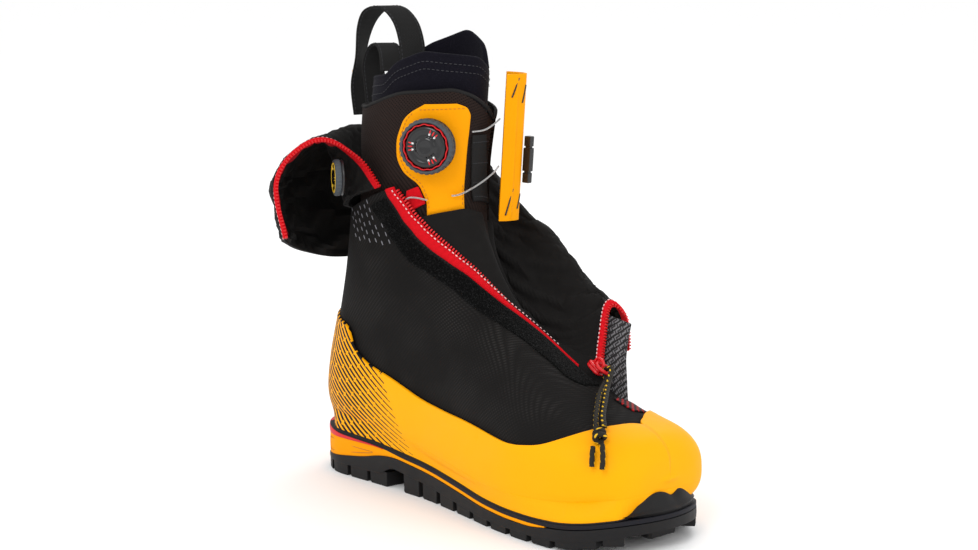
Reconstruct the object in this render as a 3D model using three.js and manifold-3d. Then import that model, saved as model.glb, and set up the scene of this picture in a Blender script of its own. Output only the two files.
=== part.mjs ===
// Double mountaineering boot, right foot: a fabric-and-rubber outer boot with a zipped
// gaiter standing open, and an insulated liner inside it, closed by a dial and steel lace.
// Millimetres. X runs from heel to toe, Y to the inner (medial) side of the foot, Z up.
// The origin is on the ground under the middle of the heel.
import * as THREE from 'three';
import { mergeVertices } from 'three/addons/utils/BufferGeometryUtils.js';
import Module from 'manifold-3d';

const wasm = await Module();
wasm.setup();

// ---------- driving dimensions ----------
const GAP = 0.3;                    // clearance between touching pieces
const SOLE_BACK = -46;              // X of the sole's rear end
const SOLE_FRONT = 272;             // X of the sole's front end
const HEEL_CENTRE = -6;             // X where the heel's round end begins
const TOE_CENTRE = 222;             // X where the toe's round end begins
const TOE_AXIS = 4;                 // Y of the toe's centre line
const BOARD = 3;                    // thickness of the welted sole board
const RAND = [3.4, 1.9];            // rubber rand, outer and inner offset from the upper
const SHELL = [0, -3];              // outer boot's fabric and its lining
const LASTING = [-4.4, -5.1];       // lasting board inside the outer boot
const GUSSET = [-1.9, -3];          // tongue cloth across the open front
const LINER = [-6.2, -11.6];        // liner's padded wall
const CUFF = [-12.7, -16];          // fleece cuff and tongue inside the liner
const TRIM = [-4.5, -5.4];          // patches and webbing sewn on the liner
const TAPE_WIDTH = 7.5;             // zip tape, as degrees of turn round the leg
const LACE = 0.6;                   // radius of the steel lace
const CORD = 1.7;                   // radius of the zip puller's cord
const TIP = 0.3;                    // length of the closed nose of the last, in stations

// Sections of the upper, from the toe tip over the foot and up the leg. Each row is one
// flat section: its front (or top) point X Z, its back (or bottom) point X Z, its half
// width, the Y of its middle, and how square its front and back halves are.
const SECTIONS = [
  [261, 46, 261, 41, 8, 9, 2.2, 2.4],
  [260, 57, 260, 31, 24, 9, 2.2, 2.6],
  [253, 66, 256, 26, 36, 8, 2.2, 3.0],
  [241, 71.5, 243, 23, 44, 7, 2.2, 3.2],
  [223, 76, 224, 21, 49.5, 4, 2.2, 3.4],
  [203, 82, 203, 19.5, 52, 2, 2.2, 3.4],
  [182, 93, 178, 19.5, 52.5, 0, 2.1, 3.4],
  [158, 107, 148, 21, 49.5, -1, 2, 3.4],
  [136, 123, 112, 25, 46, -1, 2, 3.2],
  [119, 138, 72, 29, 43, 0, 2, 3],
  [108, 156, 30, 33, 43, 0, 2, 3],
  [101, 172, -12, 35, 44, 0, 2, 2.8],
  [97, 184, -36, 44, 44.5, 0, 2, 2.5],
  [95, 194, -42.5, 68, 45, 0, 2, 2.3],
  [94, 204, -38, 100, 45.5, 0, 2, 2.2],
  [94, 214, -28, 138, 45, 0, 2, 2.1],
  [96, 228, -22, 182, 45, 0, 2, 2],
  [98, 240, -19, 216, 45.5, 0, 2, 2],
  [101, 256, -18.2, 243, 46, 0, 2, 2],
  [103, 270, -17, 266, 46, 0, 2, 2],
  [104, 284, -14, 288, 46, 0, 2, 2],
  [104, 300, -12, 306, 46, 0, 2, 2],
  [105, 314, -11, 322, 46, 0, 2, 2],
];

// ---------- numbers ----------
const radians = (degrees) => (degrees * Math.PI) / 180;
const clamp = (x, low, high) => Math.min(high, Math.max(low, x));
const mix = (a, b, t) => a + (b - a) * t;

// A smooth value between rows of numbers, by a Catmull-Rom curve through them.
function between(rows, at) {
  const last = rows.length - 1;
  const i = clamp(Math.floor(at), 0, last - 1);
  const t = at - i;
  const [a, b] = [rows[Math.max(i - 1, 0)], rows[i]];
  const [c, d] = [rows[i + 1], rows[Math.min(i + 2, last)]];
  return b.map((_, k) => 0.5 * (2 * b[k] + (c[k] - a[k]) * t
    + (2 * a[k] - 5 * b[k] + 4 * c[k] - d[k]) * t * t
    + (3 * b[k] - a[k] - 3 * c[k] + d[k]) * t * t * t));
}

// A value read from a list of [place, value] pairs, straight between them.
function along(pairs, x) {
  if (x <= pairs[0][0]) return pairs[0][1];
  for (let i = 1; i < pairs.length; i += 1) {
    const [x0, y0] = pairs[i - 1];
    const [x1, y1] = pairs[i];
    if (x <= x1) return mix(y0, y1, (x - x0) / (x1 - x0));
  }
  return pairs[pairs.length - 1][1];
}

// ---------- solids ----------
// Joins vertices that coincide, and drops flat triangles and pairs that face each other,
// so that a seam, a slit's root or a pole closes by itself. The result faces outwards.
function closed(points, faces) {
  const keys = new Map();
  const positions = [];
  const index = points.map((p) => {
    const key = [p.x, p.y, p.z].map((v) => Math.round(v * 1000)).join();
    if (!keys.has(key)) {
      keys.set(key, positions.length / 3);
      positions.push(p.x, p.y, p.z);
    }
    return keys.get(key);
  });
  const kept = new Map();
  for (const face of faces) {
    const f = face.map((i) => index[i]);
    if (f[0] !== f[1] && f[1] !== f[2] && f[0] !== f[2]) {
      const key = [...f].sort((a, b) => a - b).join();
      if (kept.has(key)) kept.delete(key);
      else kept.set(key, f);
    }
  }
  const triangles = [...kept.values()];
  const at = (i) => new THREE.Vector3().fromArray(positions, i * 3);
  const volume = triangles.reduce((sum, [a, b, c]) => sum + at(a).dot(at(b).cross(at(c))), 0);
  const geometry = new THREE.BufferGeometry();
  geometry.setAttribute('position', new THREE.Float32BufferAttribute(positions, 3));
  geometry.setIndex(triangles.flatMap(([a, b, c]) => (volume < 0 ? [a, c, b] : [a, b, c])));
  return geometry;
}

// A sheet with thickness: outer(s, t) and inner(s, t) give its two faces, s and t 0..1.
function sheet(outer, inner, rows, columns) {
  const points = [];
  const faces = [];
  const id = (side, i, j) => (side * (rows + 1) + i) * (columns + 1) + j;
  const quad = (a, b, c, d) => faces.push([a, b, c], [a, c, d]);
  for (const face of [outer, inner]) {
    for (let i = 0; i <= rows; i += 1) {
      for (let j = 0; j <= columns; j += 1) points.push(face(i / rows, j / columns));
    }
  }
  for (let i = 0; i < rows; i += 1) {
    for (let j = 0; j < columns; j += 1) {
      quad(id(0, i, j), id(0, i + 1, j), id(0, i + 1, j + 1), id(0, i, j + 1));
      quad(id(1, i, j), id(1, i, j + 1), id(1, i + 1, j + 1), id(1, i + 1, j));
    }
  }
  for (let i = 0; i < rows; i += 1) {
    quad(id(0, i, 0), id(1, i, 0), id(1, i + 1, 0), id(0, i + 1, 0));
    quad(id(0, i, columns), id(0, i + 1, columns), id(1, i + 1, columns), id(1, i, columns));
  }
  for (let j = 0; j < columns; j += 1) {
    quad(id(0, 0, j), id(0, 0, j + 1), id(1, 0, j + 1), id(1, 0, j));
    quad(id(0, rows, j), id(1, rows, j), id(1, rows, j + 1), id(0, rows, j + 1));
  }
  return closed(points, faces);
}

// A cloth panel through a grid of [x, y, z] points, thickened to one side.
function panel(grid, thickness, rows, columns, side = 1, s0 = 0, s1 = 1) {
  const point = (s, t) => {
    const a = s * (grid.length - 1);
    const b = t * (grid[0].length - 1);
    return new THREE.Vector3(...between(grid.map((row) => between(row, b)), a));
  };
  const step = 0.01;
  const normal = (s, t) => {
    const ds = point(s + step, t).sub(point(s - step, t));
    const dt = point(s, t + step).sub(point(s, t - step));
    return ds.cross(dt).normalize().multiplyScalar(side * thickness);
  };
  const face = (s, t) => point(mix(s0, s1, s), t);
  const back = (s, t) => face(s, t).add(normal(mix(s0, s1, s), t));
  return sheet(face, back, rows, columns);
}

function toSolid(geometry) {
  const bare = geometry.clone();
  bare.deleteAttribute('normal');
  bare.deleteAttribute('uv');
  const merged = mergeVertices(bare, 1e-4);
  const triVerts = new Uint32Array(merged.index.array);
  const vertProperties = new Float32Array(merged.attributes.position.array);
  return new wasm.Manifold(new wasm.Mesh({ numProp: 3, vertProperties, triVerts }));
}

function fromSolid(solid) {
  const { vertProperties, triVerts } = solid.getMesh();
  const geometry = new THREE.BufferGeometry();
  geometry.setAttribute('position', new THREE.Float32BufferAttribute(vertProperties, 3));
  geometry.setIndex([...triVerts]);
  return geometry;
}

function join(geometries) {
  return fromSolid(geometries.map(toSolid).reduce((sum, solid) => sum.add(solid)));
}

function tube(points, radius, sides, steps) {
  const route = new THREE.CatmullRomCurve3(points.map((p) => new THREE.Vector3(...p)));
  const ring = Array.from({ length: sides }, (_, k) => {
    const turn = (2 * Math.PI * k) / sides;
    return new THREE.Vector2(radius * Math.cos(turn), radius * Math.sin(turn));
  });
  const section = new THREE.Shape(ring);
  const settings = { steps, extrudePath: route, bevelEnabled: false };
  return new THREE.ExtrudeGeometry(section, settings);
}

function lathe(profile, sides) {
  const points = profile.map(([r, h]) => new THREE.Vector2(r, h));
  return new THREE.LatheGeometry([...points, points[0].clone()], sides);
}

// ---------- the last: the surface that every upper layer follows ----------
// A point at station u and turn degrees: 0 is the front or top line, 90 the inner side,
// 180 the bottom or back, and 270 or -90 the outer side; offset moves it off the last.
function last(u, degrees, offset) {
  const nose = clamp(1 + u / TIP, 0, 1);
  const [fx, fz, bx, bz, width, middle, front, back] = between(SECTIONS, Math.max(u, 0));
  const length = Math.hypot(fx - bx, fz - bz) / 2;
  const forward = clamp(1 - u / 4, 0, 1);
  const sideways = offset * Math.sqrt(1 - forward * forward);
  const turn = radians(degrees);
  const power = 2 / (Math.cos(turn) >= 0 ? front : back);
  const shaped = (v) => Math.sign(v) * Math.abs(v) ** power * nose;
  const reach = ((length + sideways) * shaped(Math.cos(turn))) / (2 * length);
  return new THREE.Vector3(
    (fx + bx) / 2 + (fx - bx) * reach + offset * forward + (1 - nose * nose),
    middle + (width + sideways) * shaped(Math.sin(turn)),
    (fz + bz) / 2 + (fz - bz) * reach,
  );
}

// The cross-sections that every layer on the last shares, so that layers stay apart.
const LAYER_STATIONS = [0, 0.5, 1, 2, 3, 3.3, 3.6, 4, 4.5, 5, 6, 7, 8, 9, 10, 11, 11.5, 12, 12.5,
  13, 13.4, 13.7, 14, 15, 16, 17, 18, 19];

// A layer on the last from station low up to high(t), and from turn from(u) to to(u).
function layer({ low, high, from, to, offsets, columns }) {
  const shortest = Math.min(...Array.from({ length: 41 }, (_, k) => high(k / 40)));
  const stations = [low, ...LAYER_STATIONS.filter((u) => u > low + 0.05 && u < shortest - 0.05)];
  const rows = stations.length;
  const face = (offset) => (s, t) => {
    const row = Math.round(s * rows);
    const u = row < rows ? stations[row] : high(t);
    return last(u, mix(from(u, t), to(u, t), t), offset);
  };
  return sheet(face(offsets[0]), face(offsets[1]), rows, columns);
}

const at = (value) => () => value;

// ---------- sole unit ----------
const HALF_OUTER = [[-46, -42], [-6, -42], [35, -40], [85, -40], [125, -46], [165, -53],
  [200, -55], [272, -51]];
const HALF_INNER = [[-46, 42], [-6, 42], [35, 38], [85, 36], [125, 43], [165, 51], [200, 55],
  [272, 57]];
const BOARD_TOP = [[-46, 33], [-12, 31.2], [30, 29.4], [72, 25.5], [112, 21.5], [148, 17.5],
  [178, 16], [203, 16], [224, 17], [243, 19], [260, 22], [272, 24]];
const RED_DEPTH = [[-46, 7], [38, 0.9]];
const RED_END = 38;
const WEDGE_END = 215;
const RUBBER_TOP = [[-46, 13], [-12, 17], [35, 19.5], [60, 18], [102, 12.7], [150, 9.5],
  [203, 9.5], [215, 12.8], [224, 13.6], [243, 15.6], [260, 18.6], [272, 20.6]];
const RUBBER_BASE = [[-46, 8.5], [-30, 8], [35, 8], [46, 15], [60, 13.5], [102, 8.7],
  [150, 4.6], [215, 5], [243, 8], [272, 14]];
const GROUND = [[-46, 4.5], [-32, 0], [200, 0], [225, 1.2], [250, 4.5], [272, 9]];

function roundEnd(x) {
  const heel = clamp((HEEL_CENTRE - x) / (HEEL_CENTRE - SOLE_BACK), 0, 1);
  const toe = clamp((x - TOE_CENTRE) / (SOLE_FRONT - TOE_CENTRE), 0, 1);
  return Math.sqrt(Math.max(0, 1 - heel * heel - toe * toe));
}

function soleEdge(x, side, inset) {
  const axis = along([[-46, 0], [150, 0], [TOE_CENTRE, TOE_AXIS]], x);
  const half = along(side < 0 ? HALF_OUTER : HALF_INNER, x) - axis - side * inset;
  return axis + half * roundEnd(x);
}

// The cross-sections that all the sole's layers share: every bend of a height line, and
// closer steps round the two ends.
const SOLE_STATIONS = [...new Set([
  ...[BOARD_TOP, RED_DEPTH, RUBBER_TOP, RUBBER_BASE, GROUND, HALF_OUTER, HALF_INNER]
    .flatMap((pairs) => pairs.map(([x]) => x)),
  ...[5, 20, 35, 50, 65, 78].flatMap((turn) => [
    HEEL_CENTRE + (SOLE_BACK - HEEL_CENTRE) * Math.cos(radians(turn)),
    TOE_CENTRE + (SOLE_FRONT - TOE_CENTRE) * Math.cos(radians(turn)),
  ]),
])].sort((a, b) => a - b);

// A slab of the sole between two height lines, with the sole's own outline.
function slab(x0, x1, bottom, top, inset) {
  const stations = [x0, ...SOLE_STATIONS.filter((x) => x > x0 && x < x1), x1];
  const rows = stations.length - 1;
  const face = (height) => (s, t) => {
    const x = stations[Math.round(s * rows)];
    const y = mix(soleEdge(x, -1, inset), soleEdge(x, 1, inset), t);
    return new THREE.Vector3(x, y, height(x));
  };
  return sheet(face(top), face(bottom), rows, 4);
}

function soleBoard() {
  const top = (x) => along(BOARD_TOP, x);
  return slab(SOLE_BACK, SOLE_FRONT, (x) => top(x) - BOARD, top, 0);
}

function heelInsert() {
  const top = (x) => along(BOARD_TOP, x) - BOARD - GAP;
  return slab(SOLE_BACK, RED_END, (x) => top(x) - along(RED_DEPTH, x), top, 0);
}

function midsole() {
  const red = (x) => (x < RED_END + 1 ? GAP + along(RED_DEPTH, x) : 0);
  const top = (x) => along(BOARD_TOP, x) - BOARD - GAP - red(x);
  return slab(SOLE_BACK, WEDGE_END, (x) => along(RUBBER_TOP, x) + GAP, top, 0.6);
}

function lugBlock(x, y, length, width) {
  const low = along(GROUND, x);
  const high = along(RUBBER_BASE, x) + 1;
  const block = new THREE.BoxGeometry(length, width, high - low);
  return block.translate(x, y, (low + high) / 2);
}

function lugs() {
  const blocks = [];
  const LUG = 13;
  for (let x = 70; x < 262; x += 21) {
    for (const side of [-1, 1]) {
      const edge = soleEdge(x, side, 0);
      blocks.push(lugBlock(x, edge - side * 7.5, LUG, 14));
      if (x < 230) blocks.push(lugBlock(x + 9, axisLug(x, side), LUG, 13));
    }
  }
  for (const x of [-22, 2, 26]) {
    for (const side of [-1, 1]) {
      blocks.push(lugBlock(x, soleEdge(x, side, 0) - side * 9, 17, 17));
    }
  }
  blocks.push(lugBlock(0, 0, 30, 28), lugBlock(257, 6, 12, 24), lugBlock(-36, 0, 10, 24));
  return blocks;
}

function axisLug(x, side) {
  return (soleEdge(x, -1, 0) + soleEdge(x, 1, 0)) / 2 + side * 14;
}

function outsole() {
  const base = (x) => along(RUBBER_BASE, x);
  const body = slab(SOLE_BACK, SOLE_FRONT, base, (x) => along(RUBBER_TOP, x), 0);
  const outline = slab(SOLE_BACK, SOLE_FRONT, (x) => along(GROUND, x), (x) => base(x) + 2, 0);
  const tread = toSolid(join(lugs())).intersect(toSolid(outline));
  return fromSolid(toSolid(body).add(tread));
}

// ---------- outer boot ----------
const RAND_OUTER = [[3, 180], [3.3, 170], [3.6, 150], [4, 129], [4.84, 112], [5.9, 97], [7.2, 90],
  [8.2, 87], [9.1, 83], [12.4, 82], [13, 76], [13.4, 64], [13.7, 50], [14, 32], [14.2, 6]];
const RAND_INNER = [[3.3, 180], [3.6, 171], [4, 155], [4.5, 134], [5, 116], [5.9, 100],
  [7.2, 91], [8.2, 87], [9.1, 83], [12.4, 82], [13, 76], [13.4, 64], [13.7, 50], [14, 32],
  [14.2, 6]];
const ZIP_OUTER = [[6.2, 25], [7, 27], [7.5, 24], [8.3, 8], [9, -5], [9.7, -17], [10.9, -31],
  [13, -45.5], [14.2, -55], [15.3, -67], [16, -80]];
const ZIP_INNER = [[6.2, 25], [7, 42], [8, 46], [10, 50], [13, 55], [16, 85]];
const SHELL_TOP = 16;

function rand() {
  return layer({
    low: -TIP, high: at(14.2), offsets: RAND, columns: 22,
    from: (u) => 180 - along(RAND_INNER, u),
    to: (u) => 180 + along(RAND_OUTER, u),
  });
}

function outerShell() {
  return layer({
    low: -TIP, high: at(SHELL_TOP), offsets: SHELL, columns: 22,
    from: (u) => along(ZIP_INNER, u),
    to: (u) => 360 + along(ZIP_OUTER, u),
  });
}

function toeBumper() {
  const rise = (angle) => 27 + 10 * Math.cos(angle * 1.1) ** 2 - 5 * Math.cos(angle) ** 30;
  const ring = (radius, height) => (s, t) => {
    const angle = radians(mix(-62, 62, s));
    const z = mix(24.4 - GAP, rise(angle), t) + height;
    const r = radius - 5 * t;
    const x = TOE_CENTRE - 1 + r * Math.cos(angle);
    return new THREE.Vector3(x, TOE_AXIS + r * Math.sin(angle), z);
  };
  const block = sheet(ring(50.5, 0), ring(38, 0), 20, 3);
  const board = slab(SOLE_BACK, SOLE_FRONT, at(0), (x) => along(BOARD_TOP, x) + GAP, -6);
  const foot = layer({
    low: -TIP, high: at(8), offsets: [RAND[0] + GAP, -30], columns: 22,
    from: at(0), to: at(360),
  });
  return fromSolid(toSolid(block).subtract(toSolid(foot)).subtract(toSolid(board)));
}

function lastingBoard() {
  return layer({
    low: 1, high: at(11.8), offsets: LASTING, columns: 6,
    from: at(140), to: at(220),
  });
}

const GUSSET_TOP = [[-56, 14.7], [-33, 13.8], [-14, 13.2], [40, 13]];

function gusset() {
  const margin = 3;
  return layer({
    low: 6.7, high: (t) => along(GUSSET_TOP, mix(-56, 40, t)), offsets: GUSSET, columns: 8,
    from: (u) => along(ZIP_OUTER, u) + margin,
    to: (u) => along(ZIP_INNER, u) - margin,
  });
}

// A strip along the zip's outer edge, between two turns counted from that edge.
function onZip(from, to, offsets, low, high) {
  return layer({
    low, high: at(high), offsets, columns: 2,
    from: (u) => 360 + along(ZIP_OUTER, u) + from,
    to: (u) => 360 + along(ZIP_OUTER, u) + to,
  });
}

function toePatternCloth() {
  return layer({
    low: 4.9, high: at(5.6), offsets: [2, 0.8], columns: 4,
    from: at(2), to: at(46),
  });
}

// Gaiter collar folded outwards and down: rows go round the leg, and each row runs up the
// wall, over the fold and down to the hem.
const COLLAR_OUTER = [
  [[44, -48, 210.5], [27, -53, 230], [14, -78, 243], [6, -104, 216], [12, -101, 178]],
  [[14, -45, 201], [10, -51, 226], [-5, -63, 240], [-20, -84, 212], [-14, -81, 170]],
  [[-9, -33, 191], [-13, -39, 222], [-30, -37, 240], [-51, -46, 210], [-42, -42, 156]],
  [[-23, 0, 186], [-26, 0, 220], [-41, 0, 243], [-59, 2, 208], [-55, 0, 146]],
  [[-9, 33, 191], [-14, 37, 220], [-27, 44, 240], [-40, 57, 207], [-36, 51, 150]],
  [[22, 48, 204], [20, 51, 220], [14, 61, 231], [8, 75, 204], [4, 69, 152]],
];
const COLLAR_INNER = [
  [[27, 50, 207], [25, 52, 222], [19, 62, 231], [14, 77, 205], [11, 71, 160]],
  [[60.5, 44.5, 168], [65, 49, 182], [66, 61, 195], [66, 73, 172], [62, 69, 135]],
  [[93, 40, 135], [96, 47, 160], [98, 61, 176], [100, 73, 158], [96, 70, 118]],
  [[133, 40, 110], [134, 47, 132], [136, 60, 149], [140, 71, 134], [137, 70, 98]],
  [[171, 35, 98], [165, 46, 115], [157, 59, 135], [164, 67, 126], [165, 68, 101]],
];
const KNIT_FLAP = [
  [[157, 58, 127], [162, 47, 108], [183, 37, 92]],
  [[179, 60, 123], [188, 46, 103], [205, 33, 85.5]],
];

const collarOuter = (s0, s1, rows) => panel(COLLAR_OUTER, 2.4, rows, 12, 1, s0, s1);
const collarInner = (s0, s1, rows) => panel(COLLAR_INNER, 1.6, rows, 12, 1, s0, s1);

// ---------- liner ----------
const LINER_TOP = [[28, 18], [36, 18.4], [90, 19], [180, 18.8], [242, 18.8], [260, 19],
  [286, 19.4], [331, 19.6], [349, 19.3], [366, 18.8], [388, 18]];
const CUFF_TOP = [[45, 20.2], [60, 21.1], [90, 21.6], [130, 20.9], [180, 19.5], [258, 19.9],
  [272, 20.45], [302, 21], [343, 20.9], [365, 20.8], [398, 20.1]];
const SLIT_INNER = [[9, 28], [10, 30], [12, 36], [19, 40]];
const SLIT_OUTER = [[9, 28], [10, 26], [12, 22], [19, 20]];

function linerShell() {
  return layer({
    low: -TIP, high: (t) => along(LINER_TOP, mix(28, 388, t)), offsets: LINER, columns: 22,
    from: (u) => along(SLIT_INNER, u),
    to: (u) => 360 + along(SLIT_OUTER, u),
  });
}

function linerCuff() {
  return layer({
    low: 17.4, high: (t) => along(CUFF_TOP, mix(45, 398, t)), offsets: CUFF, columns: 22,
    from: at(45), to: at(398),
  });
}

function linerTongue() {
  return layer({
    low: 8, high: at(17.2), offsets: CUFF, columns: 5, from: at(-12), to: at(70),
  });
}

function footbed() {
  return layer({
    low: 1.6, high: at(12), offsets: CUFF, columns: 6,
    from: at(138), to: at(222),
  });
}

const PATCH_LEFT = [[13.4, -43], [15.1, -45.5], [15.8, -53], [16.4, -67], [17, -74], [17.6, -75],
  [18.4, -69], [18.8, -59], [19, -49]];
const PATCH_RIGHT = [[13.4, -12.5], [18.4, -12.5], [18.8, -17], [19, -30]];

function dialPatch() {
  const face = (offset) => (s, t) => {
    const u = mix(14.4 - 0.9 * t, 18.95, s);
    return last(u, mix(along(PATCH_LEFT, u), along(PATCH_RIGHT, u), t), offset);
  };
  return sheet(face(TRIM[0]), face(TRIM[1]), 10, 4);
}

function webbingGuide() {
  return layer({
    low: 14.1, high: at(17.5), offsets: TRIM, columns: 3,
    from: (u) => mix(-3, -9, (u - 14.1) / 3.4), to: (u) => mix(22, 8, (u - 14.1) / 3.4),
  });
}

function redLoopGuide() {
  return layer({
    low: 15.05, high: at(15.75), offsets: TRIM, columns: 3,
    from: at(-63), to: (u) => along(PATCH_LEFT, u) - 2,
  });
}

const WING_LEAN = 0.08;
const WING_ROWS = [190, 214, 240, 262, 286].map((z) => {
  const lean = WING_LEAN * (z - 240);
  return [[103.5, 13], [107, 19], [106.5, 28], [97, 33.5], [83, 33]].map(
    ([x, y]) => [x + lean, y, z],
  );
});

// A webbing strap along a route; across gives the webbing's width direction at each point.
function strap(route, across, wide, thickness, steps) {
  const vector = (p) => new THREE.Vector3(...p);
  const curve = new THREE.CatmullRomCurve3(route.map(vector));
  const face = (lift) => (s, t) => {
    const place = vector(between(route, s * (route.length - 1)));
    const side = vector(between(across, s * (route.length - 1))).normalize();
    const tangent = curve.getTangent(s);
    const normal = new THREE.Vector3().crossVectors(tangent, side).normalize();
    return place.addScaledVector(side, (wide / 2) * (2 * t - 1)).addScaledVector(normal, lift);
  };
  return sheet(face(thickness / 2), face(-thickness / 2), steps, 1);
}

const REAR_LOOP = [[-28, 0, 252], [-32, 0, 272], [-32, 0, 293], [-29, 2, 314], [-19, 3, 326],
  [-6, 7, 328], [5, 10, 319], [11, 11, 304], [13.5, 10, 287]];
const REAR_LOOP_ACROSS = [[0.2, 1, 0], [0.05, 1, 0], [-0.45, 0.9, 0], [-0.2, 1, 0], [0.2, 1, 0],
  [0.4, 0.9, 0], [0.55, 0.8, 0], [0.6, 0.8, 0], [0.3, 0.9, 0]];
const SECOND_LOOP = [[-18, -17, 264], [-17, -16, 277], [-14, -14, 290], [-5, -12, 300],
  [7, -10, 302], [13, -9, 296], [11, -10, 284]];
const SECOND_LOOP_ACROSS = [[0.5, 0.87, 0], [0.5, 0.87, 0], [0.5, 0.87, 0], [0.55, 0.84, 0],
  [0.55, 0.84, 0], [0.5, 0.87, 0], [0.3, 0.9, 0]];
const BACK_TAB = [[-35, 3, 252], [-36.5, 3, 262], [-37.5, 3, 273], [-38, 3, 283]];
const BACK_TAB_ACROSS = [[0, 1, 0], [0, 1, 0], [0, 1, 0], [0, 1, 0]];

// The steel lace, from the patch over the webbing guide to the lace wing.
const LACE_UPPER = [[93.5, -6, 249.5], [97, 2, 250.5], [100, 7.5, 254], [102.6, 11.2, 258]];
const LACE_MIDDLE = [[87.6, -19, 207], [90.5, -13.5, 208], [94.5, -6, 212], [97.5, 2, 217],
  [100, 8, 222], [101.2, 11.2, 226]];
const LACE_LOWER = [[63.5, -38.6, 204], [67, -37.2, 205.5], [72, -34.4, 205.2],
  [76.5, -31.2, 204]];

function lacePlate() {
  return new THREE.BoxGeometry(7, 4.4, 32).rotateY(WING_LEAN).translate(106.5, 33.4, 229);
}

// ---------- dials ----------
const DIAL_FACETS = 24;

// Half-sections of one dial as [radius, height], for a dial of full size.
const DIAL_PROFILES = {
  base: [[2.2, 2.9], [18.2, 2.9], [17.6, 5.2], [8.2, 5.2], [8.2, 4], [2.2, 4]],
  spool: [[2.2, 4.4], [7.6, 4.4], [7.6, 5.4], [5, 6], [7.6, 6.8], [7.6, 7.6], [2.2, 7.6]],
  shaft: [[0, 3.2], [1.8, 3.2], [1.8, 8.4], [0, 8.4]],
  rim: [[15.9, 5.6], [18.4, 5.6], [18.8, 8], [18.2, 11.4], [16.6, 12.2], [15.9, 11]],
  ring: [[14.4, 9], [15.5, 9], [15.5, 11.6], [15, 12.4], [14.4, 12]],
  cap: [[0, 8.8], [14, 8.8], [14, 11.8], [11, 13], [5, 12.7], [0, 12.5]],
};

function dialPiece(name, scale) {
  const profile = DIAL_PROFILES[name].map(([r, h]) => [r * scale, h * scale]);
  return lathe(profile, name === 'shaft' ? 12 : DIAL_FACETS);
}

// Turns a dial's own axis to point along a direction, standing at a place.
function placed(mesh, place, direction) {
  const aim = new THREE.Vector3(...direction).normalize();
  mesh.quaternion.setFromUnitVectors(new THREE.Vector3(0, 1, 0), aim);
  mesh.position.set(...place);
  return mesh;
}

const LINER_DIAL = [78.7, -29.6, 241];
const LINER_DIAL_AXIS = [0.53, -0.848, 0];
const OUTER_DIAL = [25, -60, 217];
const OUTER_DIAL_AXIS = [-0.5, -0.866, 0];
const OUTER_DIAL_SCALE = 0.66;

// ---------- zip slider, puller and cord ----------
const SLIDER = [182, 24.5, 98.6];
const SLIDER_FORWARD = [0.87, -0.12, -0.47];
const SLIDER_UP = [0.42, 0.27, 0.87];
const RING = 5.6;                   // radius of the puller's ring, at the middle of its bar
const RING_BAR = 1.1;
const TUNNEL_HEIGHT = 3.9;          // height of the ring's bar above the slider's middle

function sliderBody() {
  const block = toSolid(new THREE.BoxGeometry(13, 9, 4));
  const bridge = toSolid(new THREE.BoxGeometry(8.4, 3, 6).translate(0, 0, 4));
  const tunnel = toSolid(new THREE.BoxGeometry(3.4, 8, 3.6).translate(0, 0, TUNNEL_HEIGHT));
  return fromSolid(block.add(bridge).subtract(tunnel));
}

function pullerRing() {
  return new THREE.TorusGeometry(RING, RING_BAR, 8, 20).translate(RING, 0, TUNNEL_HEIGHT);
}

// The cord's loop runs up from the knot, through the puller's ring and back to the knot.
const CORD_LOOP = [[238.2, -24, 77.2], [229, -16, 81.6], [217, -2, 87.6], [207, 10, 92.2],
  [200.6, 19, 97.6], [196.8, 23.6, 100.6], [190, 24.8, 98.4], [193.2, 22, 92.8],
  [199, 14.5, 91.6], [207, 2.5, 88.6], [217, -9.5, 84], [227, -20.5, 79.4],
  [234.6, -28, 74.4]];
const CORD_TAIL_A = [[244.6, -32.2, 68.6], [247.6, -34.6, 64.4], [249.6, -36.4, 60],
  [250.6, -37.8, 55]];
const CORD_TAIL_B = [[241.2, -37, 67.4], [243, -39.4, 63.6], [244.4, -41, 60],
  [245.2, -42, 56.4]];
const KNOT = [240.2, -30.4, 73.2];
const KNOT_AXIS = [0.52, -0.62, -0.58];

// ---------- assembly ----------
const COLOURS = {
  rubber: [0x1c1a1b, 0.8], yellowRubber: [0xffc000, 0.5], yellowFoam: [0xf5a800, 0.6],
  red: [0xe00010, 0.5], board: [0x17181f, 0.7], fabric: [0x1d1b1a, 0.9], lining: [0x23252b, 0.9],
  mesh: [0x1b1615, 0.9], fleece: [0x15131c, 1], leather: [0xffaa00, 0.6], webbing: [0x141414, 0.9],
  plastic: [0x1a1b1d, 0.35], grip: [0x3a4048, 0.7], steel: [0xc8c8c8, 0.25], cork: [0x6b6256, 0.9],
  knit: [0x55555a, 0.9], cord: [0x16140f, 0.8],
};

function part(name, colour, geometry) {
  const [color, roughness] = COLOURS[colour];
  const metalness = colour === 'steel' ? 0.9 : 0;
  const material = new THREE.MeshStandardMaterial({ color, roughness, metalness });
  const mesh = new THREE.Mesh(geometry, material);
  mesh.name = name;
  return mesh;
}

const boot = new THREE.Group();

const soleUnit = [
  part('outsole', 'rubber', outsole()),
  part('midsole_wedge', 'yellowFoam', midsole()),
  part('heel_crampon_insert', 'red', heelInsert()),
  part('sole_board', 'board', soleBoard()),
  part('toe_crampon_bumper', 'rubber', toeBumper()),
];

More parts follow.
